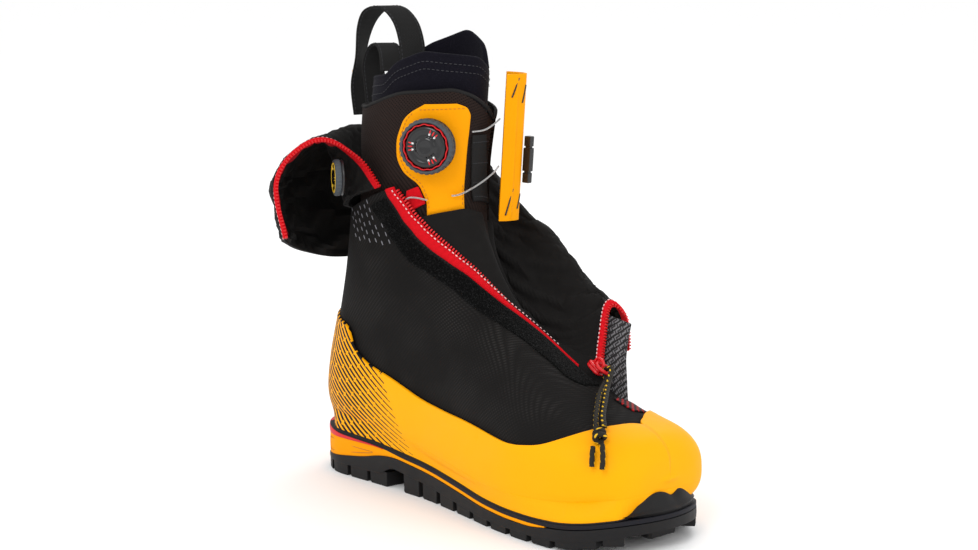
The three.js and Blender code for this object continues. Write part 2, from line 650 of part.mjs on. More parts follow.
const outerBoot = [
  part('rand', 'yellowRubber', rand()),
  part('outer_shell', 'fabric', outerShell()),
  part('lasting_board', 'cork', lastingBoard()),
  part('gusset_tongue', 'lining', gusset()),
  part('toe_pattern_cloth', 'knit', toePatternCloth()),
  part('hook_strip', 'fabric', onZip(-27, -4, [2.2, 0.9], 6.5, 12.6)),
  part('zip_tape_outer', 'red', onZip(1, TAPE_WIDTH, [-0.1, -1.1], 7.2, SHELL_TOP)),
  part('collar_outer', 'fabric', collarOuter(0, 1, 16)),
  part('collar_inner', 'fabric', collarInner(0, 1, 12)),
  part('zip_tape_collar', 'red', panel(COLLAR_OUTER, 1.2, 1, 12, 1, -0.05, -0.01)),
  part('zip_tape_inner', 'red', collarInner(1.008, 1.045, 1)),
  part('knit_flap', 'knit', panel(KNIT_FLAP, 1.4, 3, 6)),
];

const liner = [
  part('liner_shell', 'mesh', linerShell()),
  part('liner_cuff', 'fleece', linerCuff()),
  part('liner_tongue', 'fleece', linerTongue()),
  part('footbed', 'cork', footbed()),
  part('dial_patch', 'leather', dialPatch()),
  part('webbing_guide', 'webbing', webbingGuide()),
  part('red_loop_guide', 'red', redLoopGuide()),
  part('lace_wing', 'leather', panel(WING_ROWS, 2, 4, 10)),
  part('lace_wing_guide', 'plastic', lacePlate()),
  part('lace_upper', 'steel', tube(LACE_UPPER, LACE, 6, 8)),
  part('lace_middle', 'steel', tube(LACE_MIDDLE, LACE, 6, 12)),
  part('lace_lower', 'steel', tube(LACE_LOWER, LACE, 6, 8)),
  part('rear_pull_loop', 'webbing', strap(REAR_LOOP, REAR_LOOP_ACROSS, 18, 1.6, 24)),
  part('second_pull_loop', 'webbing', strap(SECOND_LOOP, SECOND_LOOP_ACROSS, 16, 1.6, 18)),
  part('back_tab', 'leather', strap(BACK_TAB, BACK_TAB_ACROSS, 12, 1.4, 4)),
];

boot.add(...soleUnit, ...outerBoot, ...liner);

const dialColours = {
  base: 'plastic', spool: 'plastic', shaft: 'steel', rim: 'grip', ring: 'red', cap: 'plastic',
};
for (const [name, scale, place, axis] of [
  ['liner_dial', 1, LINER_DIAL, LINER_DIAL_AXIS],
  ['outer_dial', OUTER_DIAL_SCALE, OUTER_DIAL, OUTER_DIAL_AXIS],
]) {
  for (const [piece, colour] of Object.entries(dialColours)) {
    const mesh = part(`${name}_${piece}`, colour, dialPiece(piece, scale));
    boot.add(placed(mesh, place, axis));
  }
}

const sliderGroup = new THREE.Group();
const forward = new THREE.Vector3(...SLIDER_FORWARD).normalize();
const side = new THREE.Vector3(...SLIDER_UP).cross(forward).normalize();
const up = forward.clone().cross(side);
sliderGroup.quaternion.setFromRotationMatrix(new THREE.Matrix4().makeBasis(forward, side, up));
sliderGroup.position.set(...SLIDER);
sliderGroup.add(part('zip_slider', 'red', sliderBody()), part('puller_ring', 'red', pullerRing()));

const KNOT_PROFILE = [[0, -5.2], [3, -4.6], [4.8, -2], [4, 0], [4.8, 2], [3, 4.6], [0, 5.2]];
boot.add(
  sliderGroup,
  part('puller_cord', 'cord', tube(CORD_LOOP, CORD, 8, 34)),
  part('cord_tail_front', 'cord', tube(CORD_TAIL_A, CORD, 8, 5)),
  part('cord_tail_rear', 'cord', tube(CORD_TAIL_B, CORD, 8, 5)),
  placed(part('cord_knot', 'cord', lathe(KNOT_PROFILE, 12)), KNOT, KNOT_AXIS),
);

export default boot;
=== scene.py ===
"""Double mountaineering boot, right foot, with its gaiter folded open and the liner inside."""
import math
import random

import bmesh
import bpy
import numpy as np
from mathutils import Matrix, Vector
from mathutils.bvhtree import BVHTree


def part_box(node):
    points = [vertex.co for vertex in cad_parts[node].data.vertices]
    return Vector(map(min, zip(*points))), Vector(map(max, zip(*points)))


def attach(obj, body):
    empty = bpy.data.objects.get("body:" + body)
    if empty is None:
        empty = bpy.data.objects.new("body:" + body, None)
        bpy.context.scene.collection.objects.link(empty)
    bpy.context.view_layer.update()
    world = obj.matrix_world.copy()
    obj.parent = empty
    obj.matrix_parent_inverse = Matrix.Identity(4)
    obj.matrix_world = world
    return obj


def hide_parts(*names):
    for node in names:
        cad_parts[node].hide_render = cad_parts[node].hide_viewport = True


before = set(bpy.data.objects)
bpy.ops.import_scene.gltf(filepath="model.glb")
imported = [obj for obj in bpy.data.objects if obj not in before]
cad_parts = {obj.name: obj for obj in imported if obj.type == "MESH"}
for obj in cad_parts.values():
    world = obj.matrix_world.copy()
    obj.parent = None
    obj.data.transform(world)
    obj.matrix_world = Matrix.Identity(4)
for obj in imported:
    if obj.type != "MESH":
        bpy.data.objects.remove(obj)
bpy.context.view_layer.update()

MM = 0.001
random.seed(7)
NOISE = np.random.default_rng(7)

# ---------------------------------------------------------------- camera, light and floor
# The photograph's view: 48 degrees round from the side towards the toe, 10 degrees up.


CAMERA_PLACE = (1.1265, -0.9209, 0.3959)
CAMERA_AZIMUTH, CAMERA_ELEVATION = 48, 10
CAMERA_LENS = 76.45
# Each area light: its place, its size and its power.
LIGHTS = {
    "key": ((0.9, -1.5, 1.5), 0.9, 11),
    "fill": ((-1.2, -1.2, 0.7), 1.2, 3),
    "rim": ((-0.4, 1.3, 1.3), 0.9, 5),
    "toe": ((1.7, 0.3, 0.8), 0.9, 3),
}
LIGHT_TARGET = Vector((0.1, 0, 0.12))
FLOOR_REACH = 9


def linked(name, data):
    """A new object in the scene that holds a mesh, a light or a camera."""
    obj = bpy.data.objects.new(name, data)
    bpy.context.collection.objects.link(obj)
    return obj


def make_camera():
    azimuth, elevation = math.radians(CAMERA_AZIMUTH), math.radians(CAMERA_ELEVATION)
    back = Vector((math.sin(azimuth) * math.cos(elevation),
                   -math.cos(azimuth) * math.cos(elevation), math.sin(elevation)))
    right = Vector((math.cos(azimuth), math.sin(azimuth), 0))
    data = bpy.data.cameras.new("camera")
    data.sensor_width = 36
    data.lens = CAMERA_LENS
    data.clip_end = 20
    camera = linked("camera", data)
    basis = Matrix((right, back.cross(right), back)).transposed().to_4x4()
    camera.matrix_world = Matrix.Translation(CAMERA_PLACE) @ basis
    bpy.context.scene.camera = camera


def make_lights():
    for name, (place, size, power) in LIGHTS.items():
        data = bpy.data.lights.new(name, "AREA")
        data.energy = power
        data.shape = "DISK"
        data.size = size
        light = linked(name, data)
        light.location = place
        light.rotation_euler = (LIGHT_TARGET - Vector(place)).to_track_quat("-Z", "Y").to_euler()


def make_studio():
    make_lights()
    world = bpy.data.worlds.new("studio")
    world.use_nodes = True
    background = world.node_tree.nodes["Background"]
    background.inputs["Color"].default_value = (1, 1, 1, 1)
    background.inputs["Strength"].default_value = 1.0
    bpy.context.scene.world = world
    bpy.context.scene.view_settings.view_transform = "Standard"
    mesh = bpy.data.meshes.new("floor")
    corners = [(x * FLOOR_REACH, y * FLOOR_REACH, 0) for x, y in ((-1, -1), (1, -1), (1, 1), (-1, 1))]
    mesh.from_pydata(corners, [], [(0, 1, 2, 3)])
    material = bpy.data.materials.new("floor")
    material.use_nodes = True
    shader = material.node_tree.nodes["Principled BSDF"]
    shader.inputs["Base Color"].default_value = (1.0, 1.0, 1.0, 1)
    shader.inputs["Roughness"].default_value = 0.9
    mesh.materials.append(material)
    linked("floor", mesh)


# ---------------------------------------------------------------- materials
MATERIALS = {}


class Shader:
    """A material being built: numbers flow through small node chains, in millimetres."""

    def __init__(self, name, color, rough, metal=0.0, sheen=0.0, specular=0.5):
        material = MATERIALS[name] = bpy.data.materials.new(name)
        material.use_nodes = True
        self.tree = material.node_tree
        self.out = self.tree.nodes["Principled BSDF"]
        for socket, value in (("Base Color", (*color, 1)), ("Roughness", rough),
                              ("Metallic", metal), ("Sheen Weight", sheen),
                              ("Sheen Roughness", 0.4), ("Specular IOR Level", specular)):
            self.out.inputs[socket].default_value = value
        self.solid = self.axes("Object", 1000)
        self.flat = self.axes("UV", 1)

    def node(self, kind, **values):
        made = self.tree.nodes.new(kind)
        for key, value in values.items():
            setattr(made, key, value)
        return made

    def axes(self, which, scale):
        """The X, Y and Z of object space, or the two lengths of the UV map, in millimetres."""
        place = self.node("ShaderNodeTexCoord")
        split = self.node("ShaderNodeSeparateXYZ")
        self.tree.links.new(place.outputs[which], split.inputs[0])
        return [self.times(split.outputs[k], scale) for k in range(3)]

    def math(self, operation, *values):
        made = self.node("ShaderNodeMath", operation=operation)
        for k, value in enumerate(values):
            if isinstance(value, (int, float)):
                made.inputs[k].default_value = value
            else:
                self.tree.links.new(value, made.inputs[k])
        return made.outputs[0]

    def times(self, first, second):
        return self.math("MULTIPLY", first, second)

    def along(self, axes, *weights):
        """The weighted sum of the axes: a length measured in one direction."""
        total = None
        for axis, weight in zip(axes, weights):
            if weight:
                term = self.times(axis, weight)
                total = term if total is None else self.math("ADD", total, term)
        return total

    def wave(self, length, pitch):
        """A wave from 0 to 1 that repeats every pitch millimetres."""
        turned = self.math("SINE", self.times(length, 2 * math.pi / pitch))
        return self.math("MULTIPLY_ADD", turned, 0.5, 0.5)

    def step(self, low, high, value):
        """0 below low, 1 above high and a ramp between them."""
        made = self.node("ShaderNodeMapRange", interpolation_type="SMOOTHSTEP")
        made.inputs["From Min"].default_value = low
        made.inputs["From Max"].default_value = high
        self.tree.links.new(value, made.inputs["Value"])
        return made.outputs["Result"]

    def noise(self, size, detail=3.0):
        """Noise with lumps of about that many millimetres, from 0 to 1."""
        place = self.node("ShaderNodeTexCoord")
        made = self.node("ShaderNodeTexNoise")
        made.inputs["Scale"].default_value = 1000 / size
        made.inputs["Detail"].default_value = detail
        self.tree.links.new(place.outputs["Object"], made.inputs["Vector"])
        return made.outputs["Fac"]

    def paint(self, mask, color):
        """Mixes a colour over what is there where mask is 1."""
        mixer = self.node("ShaderNodeMix", data_type="RGBA")
        base = self.out.inputs["Base Color"]
        if base.is_linked:
            self.tree.links.new(base.links[0].from_socket, mixer.inputs[6])
        else:
            mixer.inputs[6].default_value = base.default_value
        mixer.inputs[7].default_value = (*color, 1)
        self.tree.links.new(mask, mixer.inputs[0])
        self.tree.links.new(mixer.outputs[2], base)

    def relief(self, height, depth):
        """Bumps the surface by height, 0 to 1, over depth millimetres."""
        bump = self.node("ShaderNodeBump")
        bump.inputs["Strength"].default_value = 1
        bump.inputs["Distance"].default_value = depth * MM
        self.tree.links.new(height, bump.inputs["Height"])
        if self.out.inputs["Normal"].is_linked:
            before = self.out.inputs["Normal"].links[0].from_socket
            self.tree.links.new(before, bump.inputs["Normal"])
        self.tree.links.new(bump.outputs[0], self.out.inputs["Normal"])

    def roughen(self, value, low, high):
        """Roughness that runs from low to high as value runs from 0 to 1."""
        made = self.math("MULTIPLY_ADD", value, high - low, low)
        self.tree.links.new(made, self.out.inputs["Roughness"])


def rubber(name, color, rough, grain=0.06, shade=0.8, specular=0.5):
    s = Shader(name, color, rough, specular=specular)
    s.relief(s.noise(0.8), grain)
    s.roughen(s.noise(9), rough - 0.06, rough + 0.1)
    s.paint(s.times(s.step(0.5, 0.8, s.noise(26)), 0.25), tuple(c * shade for c in color))
    return s


def twill(name, color, light, pitch, weights, depth=0.16):
    """Cloth with fine ribs square to the given direction."""
    s = Shader(name, color, 0.86, specular=0.1)
    ribs = s.wave(s.along(s.solid, *weights), pitch)
    cross = s.wave(s.along(s.solid, weights[2], 0.2, -weights[0]), pitch * 0.62)
    patchy = s.step(0.35, 0.75, s.noise(38, 2))
    s.paint(s.times(s.times(ribs, cross), patchy), light)
    s.relief(s.times(ribs, s.math("MULTIPLY_ADD", cross, 0.5, 0.5)), depth)


def smooth_cloth(name, color):
    s = Shader(name, color, 0.8, sheen=0.02, specular=0.1)
    weave = s.times(s.wave(s.along(s.solid, 0.8, 0.3, 0.6), 0.55),
                   s.wave(s.along(s.solid, -0.6, 0.3, 0.8), 0.55))
    s.relief(weave, 0.05)
    s.relief(s.noise(14, 2), 0.5)
    s.paint(s.times(s.step(0.45, 0.75, s.noise(7)), 0.35),
            tuple(c * 1.5 for c in color))


def webbing(name, color, light, pitch=1.1):
    """Flat woven strap: ribs across it and a chevron along it, from its UV map."""
    s = Shader(name, color, 0.8, specular=0.12)
    zigzag = s.math("ADD", s.flat[0], s.math("PINGPONG", s.flat[1], 2.2))
    weave = s.wave(zigzag, pitch)
    s.paint(s.times(weave, 0.7), light)
    s.relief(weave, 0.18)


def pile(name, color, light, size=0.7, depth=0.7):
    s = Shader(name, color, 0.95, sheen=0.04, specular=0.06)
    tufts = s.noise(size, 4)
    s.relief(tufts, depth)
    s.paint(s.step(0.5, 0.72, tufts), light)


def mesh_cloth(name):
    """Spacer mesh: a lattice of small dark holes between brown-black threads."""
    s = Shader(name, (0.022, 0.014, 0.012), 0.85, specular=0.1)
    u, v = s.flat[0], s.flat[1]
    first = s.wave(s.along([u, v], 1, 1), 2.7)
    second = s.wave(s.along([u, v], 1, -1), 2.7)
    holes = s.times(first, second)
    s.paint(s.step(0.35, 0.75, holes), (0.0025, 0.002, 0.002))
    s.relief(s.math("SUBTRACT", 1.0, holes), 0.3)


def rand_rubber():
    """Yellow rubber with a fan of thin black dashes printed round the heel."""
    s = rubber("yellow_rubber", (0.97, 0.40, 0.0), 0.5, grain=0.02, shade=0.93, specular=0.1)
    x, y, z = s.solid
    # Each line is a curve of equal turn about a centre ahead of and above the heel.
    dx = s.math("SUBTRACT", 128, x)
    dz = s.math("SUBTRACT", 205, z)
    far = s.math("SQRT", s.math("ADD", s.times(dx, dx), s.times(dz, dz)))
    turn = s.times(s.math("ARCTAN2", dz, dx), 100.0)
    lines = s.math("PINGPONG", far, 1.9)
    row = s.math("FLOOR", s.math("DIVIDE", far, 3.8))
    shift = s.times(s.math("FRACT", s.times(row, 0.618)), 14.0)
    dash = s.math("PINGPONG", s.math("ADD", turn, shift), 7.0)
    fade = s.step(0, 80, x)
    width = s.math("MULTIPLY_ADD", fade, -0.9, 1.05)
    solid = s.math("LESS_THAN", lines, width)
    broken = s.math("GREATER_THAN", dash, 0.4)
    inside = s.math("LESS_THAN", s.math("ADD", x, s.times(z, 0.45)), 82)
    low = s.math("GREATER_THAN", far, 96)
    mask = s.times(s.times(solid, broken), s.times(inside, low))
    s.paint(mask, (0.012, 0.011, 0.012))


def leather():
    s = rubber("yellow_leather", (0.88, 0.33, 0.0), 0.65, grain=0.05, shade=0.86, specular=0.08)
    s.relief(s.noise(1.6, 2), 0.12)


def knit_cloth():
    s = Shader("knit", (0.03, 0.03, 0.033), 0.85, sheen=0.1, specular=0.3)
    u, v = s.flat[0], s.flat[1]
    zig = s.math("ADD", v, s.math("PINGPONG", u, 2.4))
    bands = s.step(0.4, 0.6, s.wave(zig, 3.2))
    s.paint(bands, (0.2, 0.2, 0.21))
    s.paint(s.step(0.72, 0.8, s.wave(s.math("ADD", v, u), 5.2)), (0.012, 0.012, 0.012))
    s.relief(s.wave(zig, 0.8), 0.15)


def pattern_cloth():
    s = Shader("pattern_cloth", (0.012, 0.008, 0.008), 0.8, specular=0.3)
    cells = s.times(s.wave(s.along(s.solid, 1, 1, 0), 4.6),
                   s.wave(s.along(s.solid, 1, -1, 0), 4.6))
    s.paint(s.step(0.35, 0.45, cells), (0.45, 0.006, 0.01))
    s.relief(cells, 0.25)


def braid():
    """Braided cord, black with small yellow flecks, from its UV map."""
    s = Shader("cord", (0.012, 0.010, 0.006), 0.7, specular=0.3)
    u, v = s.flat[0], s.flat[1]
    a = s.wave(s.along([u, v], 1, 1), 2.67)
    b = s.wave(s.along([u, v], 1, -1), 2.67)
    s.relief(s.math("MAXIMUM", a, b), 0.3)
    fleck = s.times(s.wave(s.along([u, v], 1, 1), 5.34), s.wave(v, 5.0))
    s.paint(s.step(0.66, 0.74, fleck), (0.75, 0.45, 0.01))


def plastic(name, color, rough=0.35, grain=0.02):
    s = Shader(name, color, rough)
    s.relief(s.noise(0.5), grain)
    s.roughen(s.noise(6), rough - 0.05, rough + 0.08)


def steel():
    s = Shader("steel", (0.6, 0.6, 0.6), 0.3, metal=1.0)
    s.relief(s.wave(s.along(s.flat, 1, 2.2), 0.5), 0.12)
    s.roughen(s.noise(3), 0.24, 0.4)


rubber("rubber", (0.008, 0.0075, 0.008), 0.55, 0.05, specular=0.22)
rubber("yellow_foam", (0.9, 0.32, 0.0), 0.65, 0.05, 0.9, 0.08)
rubber("dial_grip", (0.045, 0.055, 0.065), 0.6, 0.06)
rubber("board", (0.008, 0.008, 0.012), 0.6, 0.05, specular=0.2)
rand_rubber()
leather()
for look in (
        ("red_plastic", (0.62, 0.001, 0.004), 0.5), ("yellow_plastic", (0.8, 0.5, 0.01), 0.4),
        ("black_plastic", (0.011, 0.011, 0.012), 0.3), ("red_metal", (0.65, 0.004, 0.008), 0.28),
        ("gloss_black", (0.006, 0.006, 0.007), 0.16, 0.005), ("thread", (0.55, 0.2, 0.0), 0.7),
        ("dark_thread", (0.03, 0.03, 0.035), 0.8), ("pale_thread", (0.75, 0.5, 0.5), 0.7),
        ("reflector", (0.19, 0.19, 0.21), 0.45), ("white_mark", (0.75, 0.75, 0.75), 0.4)):
    plastic(*look)
twill("shell_fabric", (0.0085, 0.0078, 0.0075), (0.03, 0.028, 0.027), 2.1, (0.75, -0.25, -0.62))
smooth_cloth("lining", (0.0085, 0.0078, 0.0075))
pile("hook_pile", (0.003, 0.003, 0.003), (0.02, 0.02, 0.02), 0.9)
pile("fleece", (0.006, 0.0055, 0.009), (0.013, 0.012, 0.019), 0.6, 0.25)
pile("footbed_felt", (0.05, 0.045, 0.04), (0.1, 0.09, 0.08), 0.6, 0.3)
webbing("red_tape", (0.6, 0.002, 0.008), (0.75, 0.008, 0.016), 0.9)
webbing("dark_red_tape", (0.3, 0.002, 0.006), (0.5, 0.01, 0.02), 0.9)
webbing("webbing", (0.008, 0.008, 0.008), (0.035, 0.034, 0.034))
mesh_cloth("liner_mesh")
knit_cloth()
pattern_cloth()
braid()
steel()

# ---------------------------------------------------------------- numbers and surfaces
SECTIONS = np.array([
    [261, 46, 261, 41, 8, 9, 2.2, 2.4],
    [260, 57, 260, 31, 24, 9, 2.2, 2.6],
    [253, 66, 256, 26, 36, 8, 2.2, 3.0],
    [241, 71.5, 243, 23, 44, 7, 2.2, 3.2],
    [223, 76, 224, 21, 49.5, 4, 2.2, 4.4],
    [203, 82, 203, 19.5, 52, 2, 2.2, 5.5],
    [182, 93, 178, 19.5, 52.5, 0, 2.1, 6],
    [158, 107, 148, 21, 49.5, -1, 2, 6],
    [136, 123, 112, 25, 46, -1, 2, 5.5],
    [119, 138, 72, 29, 43, 0, 2, 5],
    [108, 156, 26, 32.5, 43, 0, 2, 4.4],
    [101, 172, -18, 34.5, 44, 0, 2, 3.6],
    [97, 184, -40, 43, 44.5, 0, 2, 2.7],
    [95, 194, -42.5, 68, 45, 0, 2, 2.3],
    [94, 204, -34.5, 100, 45.5, 0, 2, 2.2],
    [94, 214, -27, 138, 45, 0, 2, 2.1],
    [96, 228, -22, 182, 45, 0, 2, 2],
    [98, 240, -19, 216, 45.5, 0, 2, 2],
    [101, 256, -18.2, 243, 46, 0, 2, 2],
    [103, 270, -17, 266, 46, 0, 2, 2],
    [104, 284, -14, 288, 46, 0, 2, 2],
    [104, 300, -12, 306, 46, 0, 2, 2],
    [105, 314, -11, 322, 46, 0, 2, 2],
])
TIP = 0.3


def between(rows, at):
    """Smooth values between rows of numbers, by a Catmull-Rom curve through them."""
    rows = np.asarray(rows, float)
    at = np.asarray(at, float)
    last_row = len(rows) - 1
    i = np.clip(np.floor(at).astype(int), 0, last_row - 1)
    t = (at - i).reshape(at.shape + (1,) * (rows.ndim - 1))
    a, b = rows[np.maximum(i - 1, 0)], rows[i]
    c, d = rows[i + 1], rows[np.minimum(i + 2, last_row)]
    return 0.5 * (2 * b + (c - a) * t + (2 * a - 5 * b + 4 * c - d) * t ** 2
                  + (3 * b - a - 3 * c + d) * t ** 3)


def soft(pairs, x, width=0.3):
    """A value read from [place, value] pairs, with the corners rounded over that width."""
    places, values = zip(*pairs)
    x = np.asarray(x, float)
    shifts = np.linspace(-width, width, 7)
    return sum(np.interp(x + shift, places, values) for shift in shifts) / len(shifts)


def read(table, x):
    """The value at x on the straight lines between [place, value] pairs."""
    return np.interp(x, *zip(*table))


def unit(vectors):
    return vectors / np.linalg.norm(vectors, axis=-1, keepdims=True)


def unit_grid(rows, columns):
    """Two grids of numbers from 0 to 1: one runs down the rows, one across the columns."""
    return np.meshgrid(np.linspace(0, 1, rows), np.linspace(0, 1, columns), indexing="ij")


def last(u, degrees, offset):
    """The surface that every layer follows: station u, turn in degrees and height off it."""
    u, degrees, offset = np.broadcast_arrays(*(np.asarray(v, float) for v in (u, degrees, offset)))
    nose = np.clip(1 + u / TIP, 0, 1)
    row = between(SECTIONS, np.maximum(u, 0))
    fx, fz, bx, bz, width, middle, front, rear = np.moveaxis(row, -1, 0)
    length = np.hypot(fx - bx, fz - bz) / 2
    forward = np.clip(1 - u / 4, 0, 1)
    sideways = offset * np.sqrt(1 - forward ** 2)
    turn = np.radians(degrees)
    power = 2 / np.where(np.cos(turn) >= 0, front, rear)

    def shaped(v):
        return np.sign(v) * np.abs(v) ** power * nose

    reach = (length + sideways) * shaped(np.cos(turn)) / (2 * length)
    return np.stack([
        (fx + bx) / 2 + (fx - bx) * reach + offset * forward + (1 - nose ** 2),
        middle + (width + sideways) * shaped(np.sin(turn)),
        (fz + bz) / 2 + (fz - bz) * reach,
    ], axis=-1)


def add_bevel(obj, name, width):
    modifier = obj.modifiers.new(name, "BEVEL")
    modifier.width = width * MM
    modifier.segments = 2
    modifier.limit_method = "ANGLE"


def finish_piece(obj, material, body="boot", stands_for=(), bevel=0.0):
    """Gives an object its material, slot and body, and hides the CAD nodes that it stands for."""
    obj.data.materials.clear()
    obj.data.materials.append(MATERIALS[material])
    if bevel:
        add_bevel(obj, "bevel", bevel)
    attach(obj, body)
    if stands_for:
        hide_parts(*stands_for)
    return obj


def object_from(name, points, faces, uv=None, blocks=False):
    """An object from points in millimetres; uv is one pair of lengths for each point.

    Blocks stay apart where they touch, and keep their flat faces."""
    mesh = bpy.data.meshes.new(name)
    mesh.from_pydata((np.asarray(points, float) * MM).tolist(), [], faces)
    if uv is not None:
        layer = mesh.uv_layers.new(name="UVMap")
        corners = np.empty(len(mesh.loops), int)
        mesh.loops.foreach_get("vertex_index", corners)
        layer.data.foreach_set("uv", np.asarray(uv, float)[corners].ravel())
    bm = bmesh.new()
    bm.from_mesh(mesh)
    if not blocks:
        bmesh.ops.remove_doubles(bm, verts=bm.verts, dist=2e-6)
    bmesh.ops.dissolve_degenerate(bm, edges=bm.edges, dist=1e-7)
    bmesh.ops.recalc_face_normals(bm, faces=bm.faces)
    bm.to_mesh(mesh)
    bm.free()
    if not blocks:
        mesh.shade_smooth()
    return linked(name, mesh)


def lengths(grid):
    """Arc lengths across and along a grid of points: a UV pair for each point."""
    across = np.linalg.norm(np.diff(grid, axis=1), axis=2)
    along = np.linalg.norm(np.diff(grid, axis=0), axis=2)
    middle = grid.shape[1] // 2
    u = np.concatenate([np.zeros((grid.shape[0], 1)), np.cumsum(across, axis=1)], axis=1)
    u -= u[:, middle:middle + 1]
    v = np.concatenate([[0], np.cumsum(along.mean(axis=1))])
    return np.stack([u, np.repeat(v[:, None], grid.shape[1], axis=1)], axis=-1)


def quads(rows, columns, start=0):
    faces = []
    for i in range(rows - 1):
        for j in range(columns - 1):
            a = start + i * columns + j
            faces.append((a, a + columns, a + columns + 1, a + 1))
    return faces


SLAB_EDGE = 0.35


def slab_between(name, outer, inner):
    """A closed piece between two grids of points of the same shape."""
    rows, columns = outer.shape[:2]
    count = rows * columns
    faces = quads(rows, columns) + [f[::-1] for f in quads(rows, columns, count)]
    rim = ([(0, j) for j in range(columns)] + [(i, columns - 1) for i in range(1, rows)]
           + [(rows - 1, j) for j in range(columns - 2, -1, -1)]
           + [(i, 0) for i in range(rows - 2, -1, -1)])
    for (i0, j0), (i1, j1) in zip(rim, rim[1:]):
        a, b = i0 * columns + j0, i1 * columns + j1
        faces.append((a, b, b + count, a + count))
    points = np.concatenate([outer.reshape(-1, 3), inner.reshape(-1, 3)])
    uv = np.tile(lengths(outer).reshape(-1, 2), (2, 1))
    obj = object_from(name, points, faces, uv)
    add_bevel(obj, "edges", SLAB_EDGE)
    return obj


def wrinkle(points, size, depth, seed):
    """A smooth random height for each point: a few crossed waves of about that size."""
    source = np.random.default_rng(seed)
    total = np.zeros(points.shape[:-1])
    for _ in range(9):
        direction = unit(source.normal(size=3))
        pitch = size * source.uniform(0.7, 1.6)
        total += np.sin(points @ direction * 2 * math.pi / pitch + source.uniform(0, 6.28))
    return depth * total / 4


def layer(name, low, high, start, end, offsets, rows, columns, relief=None):
    """A layer on the last, as the CAD has it, with its edges smoothed."""
    s, t = unit_grid(rows + 1, columns + 1)
    u = low + (high(t) - low) * s
    degrees = start(u) + (end(u) - start(u)) * t
    outer = last(u, degrees, offsets[0])
    inner = last(u, degrees, offsets[1])
    if relief is not None:
        lift = relief(u, degrees, outer)
        outer = last(u, degrees, offsets[0] + lift)
        inner = last(u, degrees, offsets[1] + lift)
    return slab_between(name, outer, inner)


def at(value):
    return lambda *_: value


def cloth_grid(control, rows, columns):
    """Points on the smooth cloth through a control grid."""
    control = np.asarray(control, float)
    s = np.linspace(0, 1, rows + 1) * (control.shape[0] - 1)
    t = np.linspace(0, 1, columns + 1) * (control.shape[1] - 1)
    across = between(np.swapaxes(control, 0, 1), t)
    return between(np.swapaxes(across, 0, 1), s)


def grid_normals(grid):
    ds = np.gradient(grid, axis=0)
    dt = np.gradient(grid, axis=1)
    normal = np.cross(ds, dt)
    return normal / np.maximum(np.linalg.norm(normal, axis=2, keepdims=True), 1e-9)


def thick_cloth(name, grid, thickness):
    return slab_between(name, grid, grid + grid_normals(grid) * thickness)


def tube(name, route, radius, sides=16, steps=120, closed_ends=True):
    """A round tube along a smooth route, with lengths round and along it as UVs."""
    route = np.asarray(route, float)
    points = between(route, np.linspace(0, len(route) - 1, steps + 1))
    tangent = unit(np.gradient(points, axis=0))
    side = np.cross(tangent[0], [0.3, 0.2, 1])
    rings = []
    for place, along in zip(points, tangent):
        side = unit(side - along * (side @ along))
        other = np.cross(along, side)
        turn = np.linspace(0, 2 * math.pi, sides + 1)[:, None]
        rings.append(place + radius * (np.cos(turn) * side + np.sin(turn) * other))
    grid = np.array(rings)
    distance = np.concatenate([[0], np.cumsum(np.linalg.norm(np.diff(points, axis=0), axis=1))])
    round_it = np.linspace(0, 2 * math.pi * radius, sides + 1)
    uv = np.stack(np.meshgrid(distance, round_it, indexing="ij"), axis=-1).reshape(-1, 2)
    faces = quads(steps + 1, sides + 1)
    if closed_ends:
        faces.append(tuple(range(sides)))
        last_ring = steps * (sides + 1)
        faces.append(tuple(last_ring + k for k in range(sides - 1, -1, -1)))
    return object_from(name, grid.reshape(-1, 3), faces, uv)


def add_prism(points, faces, rings):
    """Adds a closed block through rings of points, one above the other."""
    start, count = len(points), len(rings[0])
    for ring in rings:
        points.extend(ring)
    for level in range(len(rings) - 1):
        for k in range(count):
            a, b = (start + level * count + n for n in (k, (k + 1) % count))
            faces.append((a, b, b + count, a + count))
    faces.append(tuple(start + k for k in range(count - 1, -1, -1)))
    faces.append(tuple(start + (len(rings) - 1) * count + k for k in range(count)))


def beads(name, places, directions, normals, size):
    """Many small rounded blocks as one mesh: length, width and height in size."""
    corners = np.array([[x, y, z] for z in (-1, 1) for x, y in
                        ((-1, -0.55), (-0.55, -1), (0.55, -1), (1, -0.55),
                         (1, 0.55), (0.55, 1), (-0.55, 1), (-1, 0.55))]) * (np.array(size) / 2)
    corners[8:, :2] *= 0.8
    points, faces = [], []
    for place, along, up in zip(places, directions, normals):
        along = unit(along)
        up = unit(up - along * (up @ along))
        block = place + corners @ np.array([along, np.cross(up, along), up])
        add_prism(points, faces, (block[:8], block[8:]))
    return object_from(name, points, faces, blocks=True)


def stitches(name, line, normals, pitch, size, thread, slot):
    """A row of stitches along a line on a surface: length, width and height in size."""
    line, normals = np.asarray(line, float), np.asarray(normals)
    step = np.linalg.norm(np.diff(line, axis=0), axis=1)
    distance = np.concatenate([[0], np.cumsum(step)])
    marks = np.arange(pitch / 2, distance[-1], pitch)

    def along(values, shift=0.0):
        return np.stack([np.interp(marks + shift, distance, row) for row in values.T], axis=1)

    row = beads(name, along(line), along(line, 0.4) - along(line, -0.4), along(normals), size)
    finish_piece(row, thread)


def on_last(u, degrees, offset):
    """Points on a layer and the directions that point off it."""
    place = last(u, degrees, offset)
    higher = last(u, degrees, np.asarray(offset) + 1.0)
    return place, higher - place


